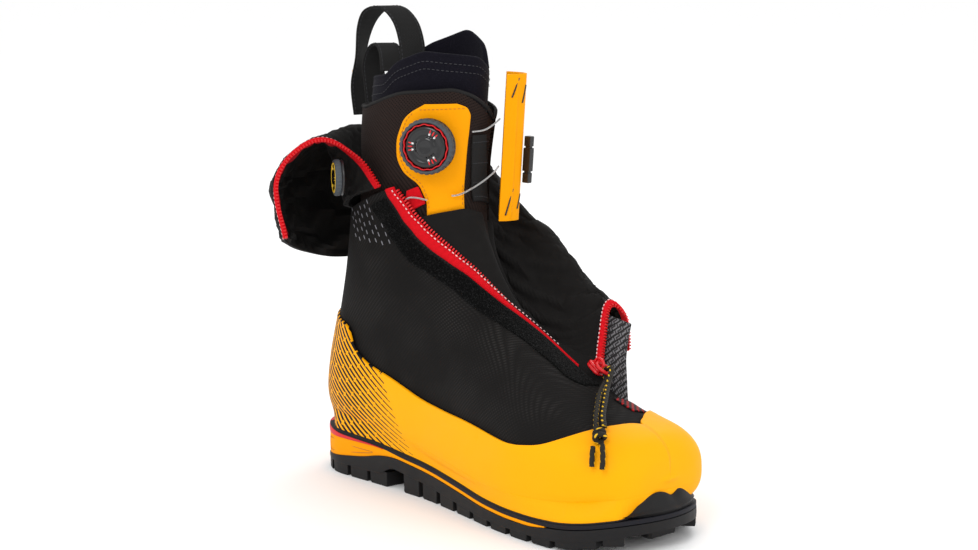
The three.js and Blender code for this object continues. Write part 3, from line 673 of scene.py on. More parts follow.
# ---------------------------------------------------------------- sole unit
SOLE_BACK, SOLE_FRONT = -46, 272
HEEL_CENTRE, TOE_CENTRE, TOE_AXIS = -6, 222, 4
HALF_OUTER = [[-46, -42], [-6, -42], [35, -40], [85, -40], [125, -46], [165, -53], [200, -55],
              [272, -51]]
HALF_INNER = [[-46, 42], [-6, 42], [35, 38], [85, 36], [125, 43], [165, 51], [200, 55],
              [272, 57]]
BOARD_TOP = [[-46, 33], [-12, 31.2], [30, 29.4], [72, 25.5], [112, 21.5], [148, 17.5],
             [178, 16], [203, 16], [224, 17], [243, 19], [260, 22], [272, 24]]
BOARD_DEPTH = [[-46, 0.5], [-35, 0.5], [-5, 1.7], [39, 1.9], [60, 2.8]]
RED_DROP = [[-46, -0.1], [-35, -0.1], [-5, 1.75], [38, 1.9]]
RED_DEPTH = [[-46, 6], [38, 2]]
RUBBER_TOP = [[-46, 9.5], [-12, 13], [16, 17], [35, 21.5], [50, 22.6], [72, 20.2], [112, 16.2],
              [148, 12.2], [178, 10.7], [203, 10.7], [215, 12.8], [224, 13.6], [243, 15.6],
              [260, 18.6], [272, 20.6]]
RUBBER_BASE = [[-46, 8.5], [-30, 8], [35, 8], [46, 15], [60, 13.5], [102, 8.7], [150, 4.6],
               [215, 5], [243, 8], [272, 14]]
GROUND = [[-46, 4.5], [-32, 0], [200, 0], [225, 1.2], [250, 4.5], [272, 9]]


def rubber_top(x):
    return soft(RUBBER_TOP, x, 6)


def board_top(x):
    return soft(BOARD_TOP, x, 6)


def wedge_top(x):
    return board_top(x) - 0.1 - np.where(x < 39, read(RED_DEPTH, x), read(BOARD_DEPTH, x))


def sole_edge(x, side, inset=0.0):
    """Y of the sole's outline at x on the outer (-1) or inner (1) side."""
    x = np.asarray(x, float)
    heel = np.clip((HEEL_CENTRE - x) / (HEEL_CENTRE - SOLE_BACK), 0, 1)
    toe = np.clip((x - TOE_CENTRE) / (SOLE_FRONT - TOE_CENTRE), 0, 1)
    round_end = np.sqrt(np.maximum(0, 1 - heel ** 2 - toe ** 2))
    axis = np.interp(x, [-46, 150, TOE_CENTRE], [0, 0, TOE_AXIS])
    half = soft(HALF_OUTER if side < 0 else HALF_INNER, x, 12) - axis - side * inset
    return axis + half * round_end


def outline_x(x0, x1, count):
    """Stations along the sole, closer together where its two ends turn round."""
    turns = np.linspace(0, math.pi / 2, 22)
    heel = HEEL_CENTRE + (SOLE_BACK - HEEL_CENTRE) * np.cos(turns)
    toe = TOE_CENTRE + (SOLE_FRONT - TOE_CENTRE) * np.cos(turns)
    places = np.concatenate([heel, toe, np.linspace(x0, x1, count)])
    return np.unique(np.clip(places, x0, x1))


def ring_grid(rings):
    """A grid from rings of points, with each ring closed."""
    grid = np.array(rings)
    return np.concatenate([grid, grid[:, :1]], axis=1)


def sole_slab(name, x0, x1, bottom, top, inset, bulge=0.0):
    """A slab of the sole: a ring of side wall with a slight bulge, and flat faces."""
    x = outline_x(x0, x1, 110)
    rings = []
    for level in np.linspace(0, 1, 9):
        out = inset - bulge * math.sin(math.pi * level)
        left = np.stack([x, sole_edge(x, -1, out)], axis=1)
        right = np.stack([x, sole_edge(x, 1, out)], axis=1)[::-1]
        flat = np.concatenate([left, right])
        height = bottom(flat[:, 0]) * (1 - level) + top(flat[:, 0]) * level
        rings.append(np.column_stack([flat, height]))
    grid = ring_grid(rings)
    count, around = grid.shape[:2]
    faces = quads(count, around)
    half = len(x)
    for level in (0, count - 1):
        start = level * around
        for k in range(half - 1):
            other = 2 * half - 1 - k
            faces.append((start + k, start + k + 1, start + other - 1, start + other))
    return object_from(name, grid.reshape(-1, 3), faces)


LUG_ROOT, LUG_CHAMFER = 2.5, 1.2
# A middle lug of the outer half, about its own middle.
MIDDLE_LUG = [(-7, -4), (-2, -7.5), (6, -5), (7, 3), (2, 7.5), (-5, 6)]


def lug(points, faces, outline, x, taper):
    """Adds one lug: an outline on the ground at x, drawn in by taper, up into the sole."""
    outline = np.asarray(outline, float)
    middle = outline.mean(axis=0)
    small = middle + (outline - middle) * taper
    low, high = float(read(GROUND, x)), float(read(RUBBER_BASE, x)) + LUG_ROOT
    rings = ((small + (middle - small) * 0.06, low), (small, low + LUG_CHAMFER), (outline, high))
    add_prism(points, faces, [[(px, py, z) for px, py in ring] for ring, z in rings])


def edge_lug(points, faces, x0, x1, side, depth, skew=0.0):
    """A lug whose outer face follows the sole's outline from x0 to x1."""
    x = np.linspace(x0, x1, 7)
    outer = np.column_stack([x, sole_edge(x, side, 0.2)])
    inner = np.column_stack([x + skew, sole_edge(x, side, depth)])
    inner = inner[[6, 5, 3, 1, 0]]
    inner[1:4, 1] += side * 1.6
    outline = np.concatenate([outer, inner])
    lug(points, faces, outline, (x0 + x1) / 2, 0.97)


def cut_rectangle(x, y, long, wide, cut=2):
    """The outline of a rectangle with its corners cut off."""
    a, b = long / 2, wide / 2
    half = [(-a, cut - b), (cut - a, -b), (a - cut, -b), (a, cut - b)]
    return [(x + dx, y + dy) for dx, dy in half + [(-dx, -dy) for dx, dy in half]]


def make_outsole():
    body = sole_slab("outsole_body", SOLE_BACK, SOLE_FRONT, lambda x: soft(RUBBER_BASE, x, 4),
                     rubber_top, 0, 0.3)
    finish_piece(body, "rubber", bevel=0.6, stands_for=["outsole"])
    points, faces = [], []
    for side in (-1, 1):
        for x in np.arange(60, 236, 20.5):
            edge_lug(points, faces, x, x + 16.5, side, 15, 2.5)
        for x in (-39, -18, 3, 24):
            edge_lug(points, faces, x, x + 18, side, 19, 1.0)
        edge_lug(points, faces, 238, 250, side, 14, -4)
        edge_lug(points, faces, 253, 262, side, 12, -7)
        for x in np.arange(76, 232, 20.5):
            y = float((sole_edge(x, -1) + sole_edge(x, 1)) / 2) + side * 13.5
            outline = [(x + dx, y + dy * side) for dx, dy in MIDDLE_LUG][::side]
            lug(points, faces, outline, x, 0.9)
    for x, y, long, wide in ((0, 0, 30, 28), (-34, 0, 12, 26), (257, 6, 10, 26)):
        lug(points, faces, cut_rectangle(x, y, long, wide), x, 0.95)
    tread = object_from("outsole_lugs", points, faces, blocks=True)
    finish_piece(tread, "rubber", bevel=0.7)


# The shallow panel that is engraved on each side of the wedge: x and share of its height.
GROOVE = [(-25, 0.25), (-25, 0.75), (-18, 0.8), (8, 0.62), (27, 0.36), (8, 0.26), (-18, 0.2),
          (-25, 0.25)]


def make_sole():
    make_outsole()
    board = sole_slab("board", SOLE_BACK, SOLE_FRONT,
                      lambda x: board_top(x) - read(BOARD_DEPTH, x), board_top, 0.4)
    finish_piece(board, "board", bevel=0.3, stands_for=["sole_board"])
    insert = sole_slab("heel_insert", SOLE_BACK, 38, lambda x: board_top(x) - read(RED_DEPTH, x),
                       lambda x: board_top(x) - read(RED_DROP, x), 0, 0.3)
    finish_piece(insert, "red_plastic", bevel=0.3, stands_for=["heel_crampon_insert"])
    wedge = sole_slab("wedge", SOLE_BACK, 215, lambda x: rubber_top(x) + 0.1, wedge_top, 0.6, 0.4)
    finish_piece(wedge, "yellow_foam", bevel=0.5, stands_for=["midsole_wedge"])
    for side, label in ((-1, "outer"), (1, "inner")):
        places = []
        for x, share in GROOVE:
            low, high = float(rubber_top(x)), float(wedge_top(np.array(x)))
            places.append((x, float(sole_edge(x, side, 0.28)), low + (high - low) * share))
        # The engraved groove round the wedge's panel is real; this tube's darker orange along it is
        # painted shade in the groove.
        groove = tube(f"wedge_groove_shade_{label}", places, 0.28, 8, 70)
        finish_piece(groove, "thread")


BUMPER_BOTTOM = 23.6


def make_bumper():
    """The black toe piece: a low bumper with a raised ledge for a crampon's front bail."""
    angles, t = np.meshgrid(np.radians(np.linspace(-62, 62, 90)), np.linspace(0, 1, 14),
                            indexing="ij")
    off = np.abs(np.degrees(angles) - 8)
    swell = 0.5 + 0.5 * np.cos(math.pi * np.clip((off - 16) / 38, 0, 1))
    rise = 24.4 + 12.5 * swell - 4.0 * np.exp(-(off / 8) ** 2)
    z = BUMPER_BOTTOM + (rise - BUMPER_BOTTOM) * t
    ledge = 1.4 * np.exp(-((t - 0.22) / 0.1) ** 2)
    radius = 49.6 - 5.2 * t ** 1.4 + ledge

    def wall(depth, drop):
        return np.stack([TOE_CENTRE - 1 + (radius - depth) * np.cos(angles),
                         TOE_AXIS + (radius - depth) * np.sin(angles), z - drop * t], axis=-1)

    bumper = slab_between("toe_bumper", wall(0, 0), wall(5, 0.6))
    finish_piece(bumper, "rubber", stands_for=["toe_crampon_bumper"])


# ---------------------------------------------------------------- outer boot
RAND_OUTER = [[3, 180], [3.3, 174], [3.6, 162], [4, 138], [4.84, 113], [5.9, 97], [7.2, 90],
              [8.2, 87], [9.1, 83], [12.4, 82], [13, 76], [13.5, 64], [13.95, 50], [14.3, 32],
              [14.5, 6]]
RAND_INNER = [[3.3, 180], [3.6, 171], [4, 155], [4.5, 134], [5, 116], [5.9, 100], [7.2, 91],
              [8.2, 87], [9.1, 83], [12.4, 82], [13, 76], [13.5, 64], [13.95, 50], [14.3, 32],
              [14.5, 6]]
ZIP_OUTER = [[6.2, 25], [7, 27], [7.5, 24], [8.3, 8], [9, -5], [9.7, -17], [10.9, -31],
             [13, -45.5], [14.2, -55], [15.3, -67], [16, -80]]
ZIP_INNER = [[6.2, 25], [7, 42], [8, 46], [10, 50], [13, 55], [16, 85]]
HOOK_LOW = [[5.5, 16], [5.75, 8], [6, 1], [6.7, 0.7], [7.4, -4.5], [8, -13], [8.7, -23],
            [9.5, -33], [10.8, -43.5], [11.7, -49], [13.9, -65], [15.1, -78], [15.8, -94]]
GUSSET_TOP = [[-56, 14.7], [-33, 13.8], [-14, 13.2], [40, 13]]
# The power of the last's lower half that the rand's edge angles were measured against.
EDGE_POWER = [[0, 2.4], [2, 3], [4, 3.4], [7, 3.4], [8, 3.2], [9, 3], [11, 2.8], [12, 2.5],
              [13, 2.3], [15, 2.1], [16, 2]]


def zip_turn(u):
    """The turn of the zip's line, where the shell's outer half ends."""
    return soft(ZIP_OUTER, u, 0.25)


def edge_turn(table, u):
    """The rand's edge as a turn from the sole: smooth in height, and a full half turn ahead."""
    places, angles = (np.array(column, float) for column in zip(*table))
    rise = -np.cos(np.radians(angles))
    power = np.where(rise >= 0, 2.1, read(EDGE_POWER, places))
    reach = soft(list(zip(places, np.sign(rise) * np.abs(rise) ** (2 / power))), u, 0.3)
    reach = 1 - (1 - reach) * np.clip((u - 3.0) / 0.4, 0, 1) ** 2
    row = between(SECTIONS, np.maximum(u, 0))
    power = np.where(reach >= 0, row[..., 6], row[..., 7])
    rise = np.sign(reach) * np.abs(reach) ** (power / 2)
    return 180 - np.degrees(np.arccos(np.clip(rise, -1, 1)))


def make_rand():
    def thin_top(u, degrees, points):
        return -1.5 * np.clip((u - 12.2) / 2, 0, 1)

    piece = layer("rand", -TIP, at(14.47), lambda u: 180 - edge_turn(RAND_INNER, u),
                  lambda u: 180 + edge_turn(RAND_OUTER, u), (3.2, 1.4), 190, 120, thin_top)
    finish_piece(piece, "yellow_rubber", stands_for=["rand"])


def make_rand_foot():
    """The rand's foot, where it turns down to the sole's edge, and under it a black tube: partly the
    dark piping there, partly painted shade in the gap between rand and board.
    """
    s, t = unit_grid(160, 90)
    u = 14 * s
    degrees = 180 - edge_turn(RAND_INNER, u) * (1 - t) + edge_turn(RAND_OUTER, u) * t
    surface = BVHTree.FromPolygons(last(u, degrees, 3.2).reshape(-1, 3).tolist(), quads(160, 90))
    x = outline_x(SOLE_BACK, SOLE_FRONT, 150)
    rim = np.concatenate([np.stack([x, sole_edge(x, -1)], axis=1)[::-1],
                          np.stack([x, sole_edge(x, 1)], axis=1)[1:]])
    turn = np.degrees(np.arctan2(rim[:, 1] - TOE_AXIS, rim[:, 0] - TOE_CENTRE))
    inset = (1.4 + 6.5 * np.clip((52 - np.abs(turn - 8)) / 16, 0, 1) * (rim[:, 0] > 200)
             + 3.6 * np.clip((-14 - rim[:, 0]) / 20, 0, 1))
    along = np.gradient(rim, axis=0)
    away = unit(np.stack([along[:, 1], -along[:, 0]], axis=1))
    away *= -np.sign((away * (np.array([90, 0]) - rim)).sum(axis=1, keepdims=True))
    steps = np.linspace(0, 1, 9)[:, None]
    outer, base = [], []
    for place, out, low, gap in zip(rim, away, board_top(rim[:, 0]), inset):
        foot = np.array([*(place - out * gap), low + 0.05])
        origin = (*(place + out * 20), low + 13)
        hit = surface.ray_cast(origin, (-out[0], -out[1], 0), 45)[0]
        if hit is None:
            continue
        top = np.array(hit) + np.array([*out, 0]) * 0.12
        middle = foot + np.array([*(out * 0.4), 5.5])
        outer.append(foot * (1 - steps) ** 2 + middle * 2 * steps * (1 - steps) + top * steps ** 2)
        base.append(foot + np.array([*(out * 0.3), 0.45]))
    outer = np.array(outer)
    inner = outer + 1.6 * unit(np.array([90, 0, 60]) - outer)
    finish_piece(slab_between("rand_foot", outer, inner), "yellow_rubber")
    # A black tube along the foot of the rand: partly its dark piping, partly painted shade in the gap
    # where the rand meets the board.
    finish_piece(tube("rand_piping_shadow_line", np.array(base)[::4], 0.6, 8, 260), "rubber")


def make_shell():
    def crease(u, degrees, points):
        ankle = np.exp(-((u - 11) / 2.2) ** 2)
        free = np.clip((u - 5.5) / 2, 0, 1)
        return -np.abs(wrinkle(points, 55, 0.9, 3)) * ankle * free

    piece = layer("shell", -TIP, at(16), lambda u: soft(ZIP_INNER, u, 0.25),
                  lambda u: 360 + zip_turn(u), (0, -2.6), 170, 140, crease)
    finish_piece(piece, "shell_fabric", stands_for=["outer_shell"])
    board = layer("lasting", 1, at(11.8), at(140), at(220), (-4.4, -5.1), 60, 20)
    finish_piece(board, "board", stands_for=["lasting_board"])
    cloth = layer("toe_pattern", 4.25, at(5.1), at(20), at(50), (1.4, 0.3), 14, 30)
    finish_piece(cloth, "pattern_cloth", stands_for=["toe_pattern_cloth"])


def make_hook_band():
    """Short black pile below the zip: a band with a rough, tufted face."""
    s, t = unit_grid(421, 37)
    u = 5.75 + 10.0 * s
    low = soft(HOOK_LOW, u, 0.2)
    degrees = low + (np.maximum(zip_turn(u) - 2.5, low + 2) - low) * t
    edge = np.clip(np.minimum(t, 1 - t) * 8, 0, 1)
    lift = NOISE.uniform(0.0, 1.0, t.shape) * 0.9 * edge
    band = slab_between("hook_band", last(u, degrees, 1.1 + lift), last(u, degrees, 0.2))
    band.modifiers.clear()
    finish_piece(band, "hook_pile", stands_for=["hook_strip"])


ZIP_STITCH = (1.7, 0.8, 0.5)


def zip_trim(name, stitch_line, teeth_line, tooth_width):
    """The pale stitches on a zip tape and the teeth along its edge: line and normals each."""
    stitches(name + "_stitches", *stitch_line, 3.1, ZIP_STITCH, "pale_thread", "red_tape")
    tooth = (1.3, tooth_width, 1.8)
    stitches(name + "_teeth", *teeth_line, 2.2, tooth, "red_plastic", "red_tape")


def make_outer_zip():
    s, t = unit_grid(261, 9)
    u = 6.6 + 9.4 * s
    width = 1.5 + 6.0 * np.clip((u - 7) / 2.2, 0, 1)
    degrees = zip_turn(u) - 0.5 + width * t
    crown = 1.6 * np.sin(math.pi * np.clip(t * 1.15, 0, 1)) ** 0.6
    tape = slab_between("zip_tape", last(u, degrees, 0.2 + crown), last(u, degrees, -0.9))
    finish_piece(tape, "red_tape", stands_for=["zip_tape_outer"])
    u = np.linspace(7.4, 15.9, 400)
    zip_trim("zip", on_last(u, zip_turn(u) + 5.6, 1.7), on_last(u, zip_turn(u) + 8.2, -0.6), 2.6)


def make_gusset():
    """The black cloth across the open front, pressed into a broad valley."""
    def fall(u, degrees, points):
        valley = -5.5 * np.exp(-((degrees - 26 + 3 * (u - 10)) / 9) ** 2)
        ridge = 2.6 * np.exp(-((degrees - 6 + 6 * (u - 10)) / 8) ** 2)
        ends = np.clip((u - 6.9) / 2, 0, 1) * np.clip((14.6 - u) / 1.5, 0, 1)
        return (valley + ridge + wrinkle(points, 42, 0.8, 11)) * ends

    def high(t):
        return soft(GUSSET_TOP, -56 + 96 * t, 5)

    piece = layer("gusset", 6.2, high, lambda u: zip_turn(u) + 2,
                  lambda u: soft(ZIP_INNER, u, 0.25) - 1 + 16 * np.clip((9.6 - u) / 2, 0, 1),
                  (-1.7, -2.9), 90, 90, fall)
    finish_piece(piece, "lining", stands_for=["gusset_tongue"])


def make_reflectors():
    """Rows of short grey reflective dashes behind the top of the zip."""
    outer = last(*np.meshgrid(np.linspace(12, 16, 50), np.linspace(200, 320, 80),
                              indexing="ij"), 0)
    surface = BVHTree.FromPolygons(outer.reshape(-1, 3).tolist(), quads(50, 80))
    places, directions, normals = [], [], []
    slope = np.array([0.5, 0, -0.87])
    for line in range(10):
        for step in range(9):
            start = np.array([-8 + 6.2 * line, 0, 212 - 1.5 * (line % 2)])
            x, _, z = start + slope * (6.2 * step + random.uniform(-0.5, 0.5))
            if x > 27 + (210 - z) * 0.86 or z < 171 or x < -4:
                continue
            hit, normal, _, _ = surface.ray_cast((x, -150, z), (0, 1, 0))
            if hit is None:
                continue
            normal = np.array(normal) * (-1 if normal[1] > 0 else 1)
            places.append(np.array(hit) + normal * 0.1)
            directions.append(slope)
            normals.append(normal)
    dashes = beads("reflective_dashes", places, directions, normals, (3.4, 0.75, 0.3))
    finish_piece(dashes, "reflector")


COLLAR_OUTER = [
    [[44, -48, 210.5], [27, -53, 230], [14, -78, 243], [6, -104, 216], [12, -101, 178]],
    [[14, -45, 201], [10, -51, 226], [-5, -63, 240], [-20, -84, 212], [-14, -81, 170]],
    [[-9, -33, 191], [-13, -39, 222], [-30, -37, 240], [-51, -46, 210], [-42, -42, 156]],
    [[-23, 0, 186], [-26, 0, 220], [-41, 0, 243], [-59, 2, 208], [-55, 0, 146]],
    [[-9, 33, 191], [-14, 37, 220], [-27, 44, 240], [-40, 57, 207], [-36, 51, 150]],
    [[22, 48, 204], [20, 51, 220], [14, 61, 231], [8, 75, 204], [4, 69, 152]],
]
COLLAR_INNER = [
    [[27, 50, 207], [25, 52, 222], [19, 62, 231], [14, 77, 205], [11, 71, 160]],
    [[60.5, 44.5, 168], [65, 49, 182], [66, 61, 195], [66, 73, 172], [62, 69, 135]],
    [[93, 40, 135], [96, 47, 160], [98, 61, 176], [100, 73, 158], [96, 70, 118]],
    [[133, 40, 110], [134, 47, 132], [136, 60, 149], [140, 71, 134], [137, 70, 98]],
    [[171, 35, 98], [165, 46, 115], [157, 59, 135], [164, 67, 126], [165, 68, 101]],
]
COLLAR_FOOT = (175.5, 32, 98.5)
KNIT_FLAP = [
    [[157, 58, 127], [161, 46, 107], [179, 32, 84]],
    [[179, 60, 123], [188, 46, 102], [206, 30, 75]],
]


CLOTH = {"quality": 6, "mass": 0.2, "tension_stiffness": 12, "compression_stiffness": 12,
         "shear_stiffness": 4, "bending_stiffness": 0.4, "shrink_min": -0.035,
         "vertex_group_mass": "hold", "pin_stiffness": 0.6}
SETTLE_FRAMES = 22


def settle(grid, seed, depth, keep):
    """Lets a cloth grid slacken under gravity, held along its edges, and returns it.

    keep gives how firmly each point holds its place, from 0 to 1; depth caps the movement."""
    start = grid.copy()
    rows, columns = grid.shape[:2]
    points = grid + grid_normals(grid) * wrinkle(grid, 30, 0.6, seed)[..., None]
    mesh = bpy.data.meshes.new("settling")
    mesh.from_pydata((points.reshape(-1, 3) * MM).tolist(), [], quads(rows, columns))
    obj = linked("settling", mesh)
    group = obj.vertex_groups.new(name="hold")
    for index, weight in enumerate(keep.ravel()):
        group.add([index], float(weight), "REPLACE")
    modifier = obj.modifiers.new("cloth", "CLOTH")
    for name, value in CLOTH.items():
        setattr(modifier.settings, name, value)
    modifier.point_cache.frame_start = 1
    modifier.point_cache.frame_end = SETTLE_FRAMES
    for number in range(1, SETTLE_FRAMES + 1):
        bpy.context.scene.frame_set(number)
    graph = bpy.context.evaluated_depsgraph_get()
    done = obj.evaluated_get(graph).to_mesh()
    found = np.empty(rows * columns * 3)
    done.vertices.foreach_get("co", found)
    bpy.data.objects.remove(obj)
    bpy.context.scene.frame_set(1)
    moved = found.reshape(rows, columns, 3) / MM - start
    size = np.linalg.norm(moved, axis=2, keepdims=True)
    moved *= np.minimum(1, depth / np.maximum(size, 1e-6))
    return start + moved


def edge_hold(grid, inside):
    """How firmly each point of a grid is held: fully along its edges."""
    keep = np.full(grid.shape[:2], inside)
    keep[:2] = keep[-2:] = 1
    keep[:, :2] = keep[:, -2:] = 1
    return keep


def make_collar():
    grid = cloth_grid(COLLAR_OUTER, 96, 60)
    grid += grid_normals(grid) * wrinkle(grid, 60, 0.9, 5)[..., None]
    grid = settle(grid, 21, 4.0, edge_hold(grid, 0.25))
    piece = thick_cloth("collar", grid, 2.2)
    finish_piece(piece, "lining", stands_for=["collar_outer"])
    # Dark red lining tape behind the zip, on the face that turns towards the leg.
    strip = grid[:9, 22:]
    normal = grid_normals(grid)[:9, 22:]
    facing = ((strip.mean(axis=1, keepdims=True) - strip) * normal).sum(axis=2).mean()
    lift = 2.5 if facing > 0 else -0.9
    tape = slab_between("collar_lining_tape", strip + normal * lift, strip + normal * (lift + 0.6))
    finish_piece(tape, "dark_red_tape")
    return grid


def make_medial_collar():
    control = np.array(COLLAR_INNER, float)
    stations = np.array([15.9, 12.5, 9.6, 7.9, 6.5])
    control[:, 0] = last(stations, soft(ZIP_INNER, stations, 0.2) - 4, -2.2)
    control[4, 0] = COLLAR_FOOT
    control[:, 1] = control[:, 1] * 0.75 + control[:, 0] * 0.25
    grid = cloth_grid(control, 110, 56)
    fold = np.sin(np.linspace(0, math.pi, 57)) ** 2
    grid += (grid_normals(grid) * (wrinkle(grid, 34, 2.0, 9) * fold)[..., None])
    grid = settle(grid, 22, 4.0, edge_hold(grid, 0.2))
    piece = thick_cloth("collar_medial", grid, 1.5)
    finish_piece(piece, "lining", stands_for=["collar_inner"])
    return grid


def make_collar_web(collar):
    """The lining that joins the foot of the folded medial collar to the zip."""
    seam = collar[-48:, 0] + np.array([0, 1.5, 2.0])
    u = np.linspace(9.4, 5.4, 48)
    zip_side = last(u, zip_turn(u) + 2, -1.4)
    t = np.linspace(0, 1, 12)[None, :, None]
    web = zip_side[:, None] * (1 - t) + seam[:, None] * t
    finish_piece(thick_cloth("collar_web", web, 1.2), "lining")


def eased(line):
    line = line.copy()
    for _ in range(14):
        line[1:-1] = (line[:-2] + 2 * line[1:-1] + line[2:]) / 4
    return line


def zip_on_edge(name, grid, row, step, node, width, flip):
    """Zip tape, teeth and stitches along the free edge of a folded panel."""
    rim = eased(grid[row])
    inward = unit(eased(grid[row + step]) - rim)
    normal = unit(np.cross(inward, np.gradient(rim, axis=0)))
    if flip and ((rim - grid.reshape(-1, 3).mean(axis=0)) * normal).sum() < 0:
        normal = -normal
    columns = np.linspace(0, 1, 9)[None, :, None]
    base = rim[:, None] + inward[:, None] * 1.5 - inward[:, None] * (width + 1.5) * columns
    crown = 1.3 * np.sin(math.pi * columns) ** 0.6
    tape = slab_between(name, base + normal[:, None] * (1.2 + crown), base - normal[:, None] * 0.6)
    finish_piece(tape, "red_tape", stands_for=[node])
    zip_trim(name, (rim + inward * 0.2 + normal * 2.5, normal),
             (rim - inward * (width + 0.4) + normal * 0.4, normal), 2.4)


def make_collars():
    outer = make_collar()
    medial = make_medial_collar()
    make_collar_web(medial)
    zip_on_edge("zip_tape_fold", outer, 0, 1, "zip_tape_collar", 4.0, False)
    zip_on_edge("zip_tape_medial", medial, -1, -2, "zip_tape_inner", 3.6, True)


def make_flap():
    grid = cloth_grid(KNIT_FLAP, 16, 40)
    grid += grid_normals(grid) * wrinkle(grid, 25, 0.5, 4)[..., None]
    flap = thick_cloth("knit_flap_cloth", grid, 1.4)
    finish_piece(flap, "knit", stands_for=["knit_flap"])


# ---------------------------------------------------------------- liner
LINER_TOP = [[28, 18], [36, 18.4], [90, 19], [180, 18.8], [242, 18.8], [260, 19], [286, 19.4],
             [331, 19.6], [349, 19.3], [366, 18.8], [388, 18]]
CUFF_TOP = [[45, 20.2], [60, 21.1], [90, 21.6], [130, 20.9], [180, 19.5], [258, 19.9],
            [272, 20.45], [302, 21], [343, 20.9], [365, 20.8], [398, 20.1]]
# The outer and inner faces of the pieces inside the liner, as heights off the last.
FLEECE = (-12.7, -15.8)
SLIT_INNER = [[9, 28], [10, 30], [12, 36], [19, 40]]
SLIT_OUTER = [[9, 28], [10, 26], [12, 22], [19, 20]]
PATCH_LEFT = [[13.4, -43], [15.1, -45.5], [15.8, -53], [16.4, -67], [17, -74], [17.6, -75],
              [18.4, -69], [18.8, -59], [19, -49]]
PATCH_RIGHT = [[13.4, -12.5], [18.4, -12.5], [18.8, -17], [19, -30]]


def liner_high(t):
    return soft(LINER_TOP, 28 + 360 * t, 5)


def cuff_high(t):
    return soft(CUFF_TOP, 45 + 353 * t, 5)


def bind_rim(name, high, start, sweep, offset, radius, material):
    """A folded binding along the top edge of a layer."""
    t = np.linspace(0.001, 0.999, 240)
    rim = last(high(t) - 0.02, start + sweep * t, offset)
    finish_piece(tube(name, rim[::4], radius, 12, 236), material)


def make_liner():
    def padding(u, degrees, points):
        return wrinkle(points, 48, 0.45, 8) * np.clip((u - 12) / 2, 0, 1)

    shell = layer("liner_body", -TIP, liner_high, lambda u: soft(SLIT_INNER, u, 0.3),
                  lambda u: 360 + soft(SLIT_OUTER, u, 0.3), (-6.2, -11.4), 150, 130, padding)
    finish_piece(shell, "liner_mesh", stands_for=["liner_shell"])
    bind_rim("liner_binding", liner_high, 28, 360, -6.9, 1.25, "webbing")
    cuff = layer("cuff_body", 17.4, cuff_high, at(45), at(398), FLEECE, 70, 150,
                 lambda u, degrees, points: wrinkle(points, 40, 0.22, 6))
    finish_piece(cuff, "fleece", stands_for=["liner_cuff"])
    bind_rim("cuff_binding", cuff_high, 45, 353, -14.2, 1.6, "fleece")
    t = np.linspace(0.001, 0.999, 240)
    for number, drop in ((1, 0.32), (2, 0.62)):
        stitches(f"cuff_seam_{number}", *on_last(cuff_high(t) - drop, 45 + 353 * t, -12.5), 3.2,
                 (2.1, 0.5, 0.4), "dark_thread", "fleece")
    tongue = layer("tongue_body", 8, at(17.2), at(-12), at(70), FLEECE, 70, 40)
    finish_piece(tongue, "fleece", stands_for=["liner_tongue"])
    bed = layer("footbed_body", 1.6, at(12), at(138), at(222), FLEECE, 70, 30)
    finish_piece(bed, "footbed_felt", stands_for=["footbed"])


def patch_angles(u, t):
    return soft(PATCH_LEFT, u, 0.18) * (1 - t) + soft(PATCH_RIGHT, u, 0.1) * t


def make_patch():
    s, t = unit_grid(81, 61)
    u = 14.4 - 0.9 * t + (18.95 - 14.4 + 0.9 * t) * s
    degrees = patch_angles(u, t)
    edge = np.clip(np.minimum(np.minimum(t, 1 - t) * 14, np.minimum(s, 1 - s) * 18), 0, 1)
    patch = slab_between("patch", last(u, degrees, -4.9 + 0.8 * np.sqrt(edge)),
                         last(u, degrees, -5.6))
    finish_piece(patch, "yellow_leather", stands_for=["dial_patch"])
    for place, u, t in (("left", np.linspace(14.7, 18.6, 120), 0.055),
                        ("top", np.full(60, 18.72), np.linspace(0.08, 0.92, 60)),
                        ("right", np.linspace(14.0, 15.2, 30), 0.94)):
        stitches(f"patch_stitches_{place}", *on_last(u, patch_angles(u, t), -3.95), 2.9,
                 (1.9, 0.6, 0.35), "thread", "yellow_leather")


def make_guides():
    guide = layer("webbing_guide_strap", 14.1, at(17.5), lambda u: -3 - 6 * (u - 14.1) / 3.4,
                  lambda u: 22 - 14 * (u - 14.1) / 3.4, (-3.9, -5.4), 50, 24)
    finish_piece(guide, "webbing", stands_for=["webbing_guide"])
    for u in (14.35, 15.2, 16.1, 17.2):
        degrees = np.linspace(-2, 18, 30) - 2.0 * (u - 14.1)
        stitches(f"guide_tack_{int(u * 10)}", *on_last(u, degrees, -3.8), 1.9, (1.3, 0.5, 0.3),
                 "dark_thread", "webbing")
    loop = layer("red_loop", 15.05, at(15.75), at(-63), lambda u: soft(PATCH_LEFT, u, 0.1) - 1,
                 (-3.6, -5.5), 14, 20)
    finish_piece(loop, "red_tape", stands_for=["red_loop_guide"])


WING_LEAN = 0.08
WING_SPAN = (188, 287.5)
# Each slit's two heights and its two places across the wing.
WING_SLITS = [(272, 285, 0.16, 0.3), (192, 210, 0.16, 0.3), (196, 206, 0.42, 0.5),
              (268, 280, 0.4, 0.48)]
WING_PLAN = [[103.5, 13], [107, 19], [106.5, 28], [97, 33.5], [83, 33]]


def wing_point(z, t):
    plan = between(np.array(WING_PLAN, float), np.asarray(t, float) * 4)
    z = np.asarray(z, float)
    return np.stack([plan[..., 0] + WING_LEAN * (z - 240), plan[..., 1], z + 0 * plan[..., 0]],
                    axis=-1)


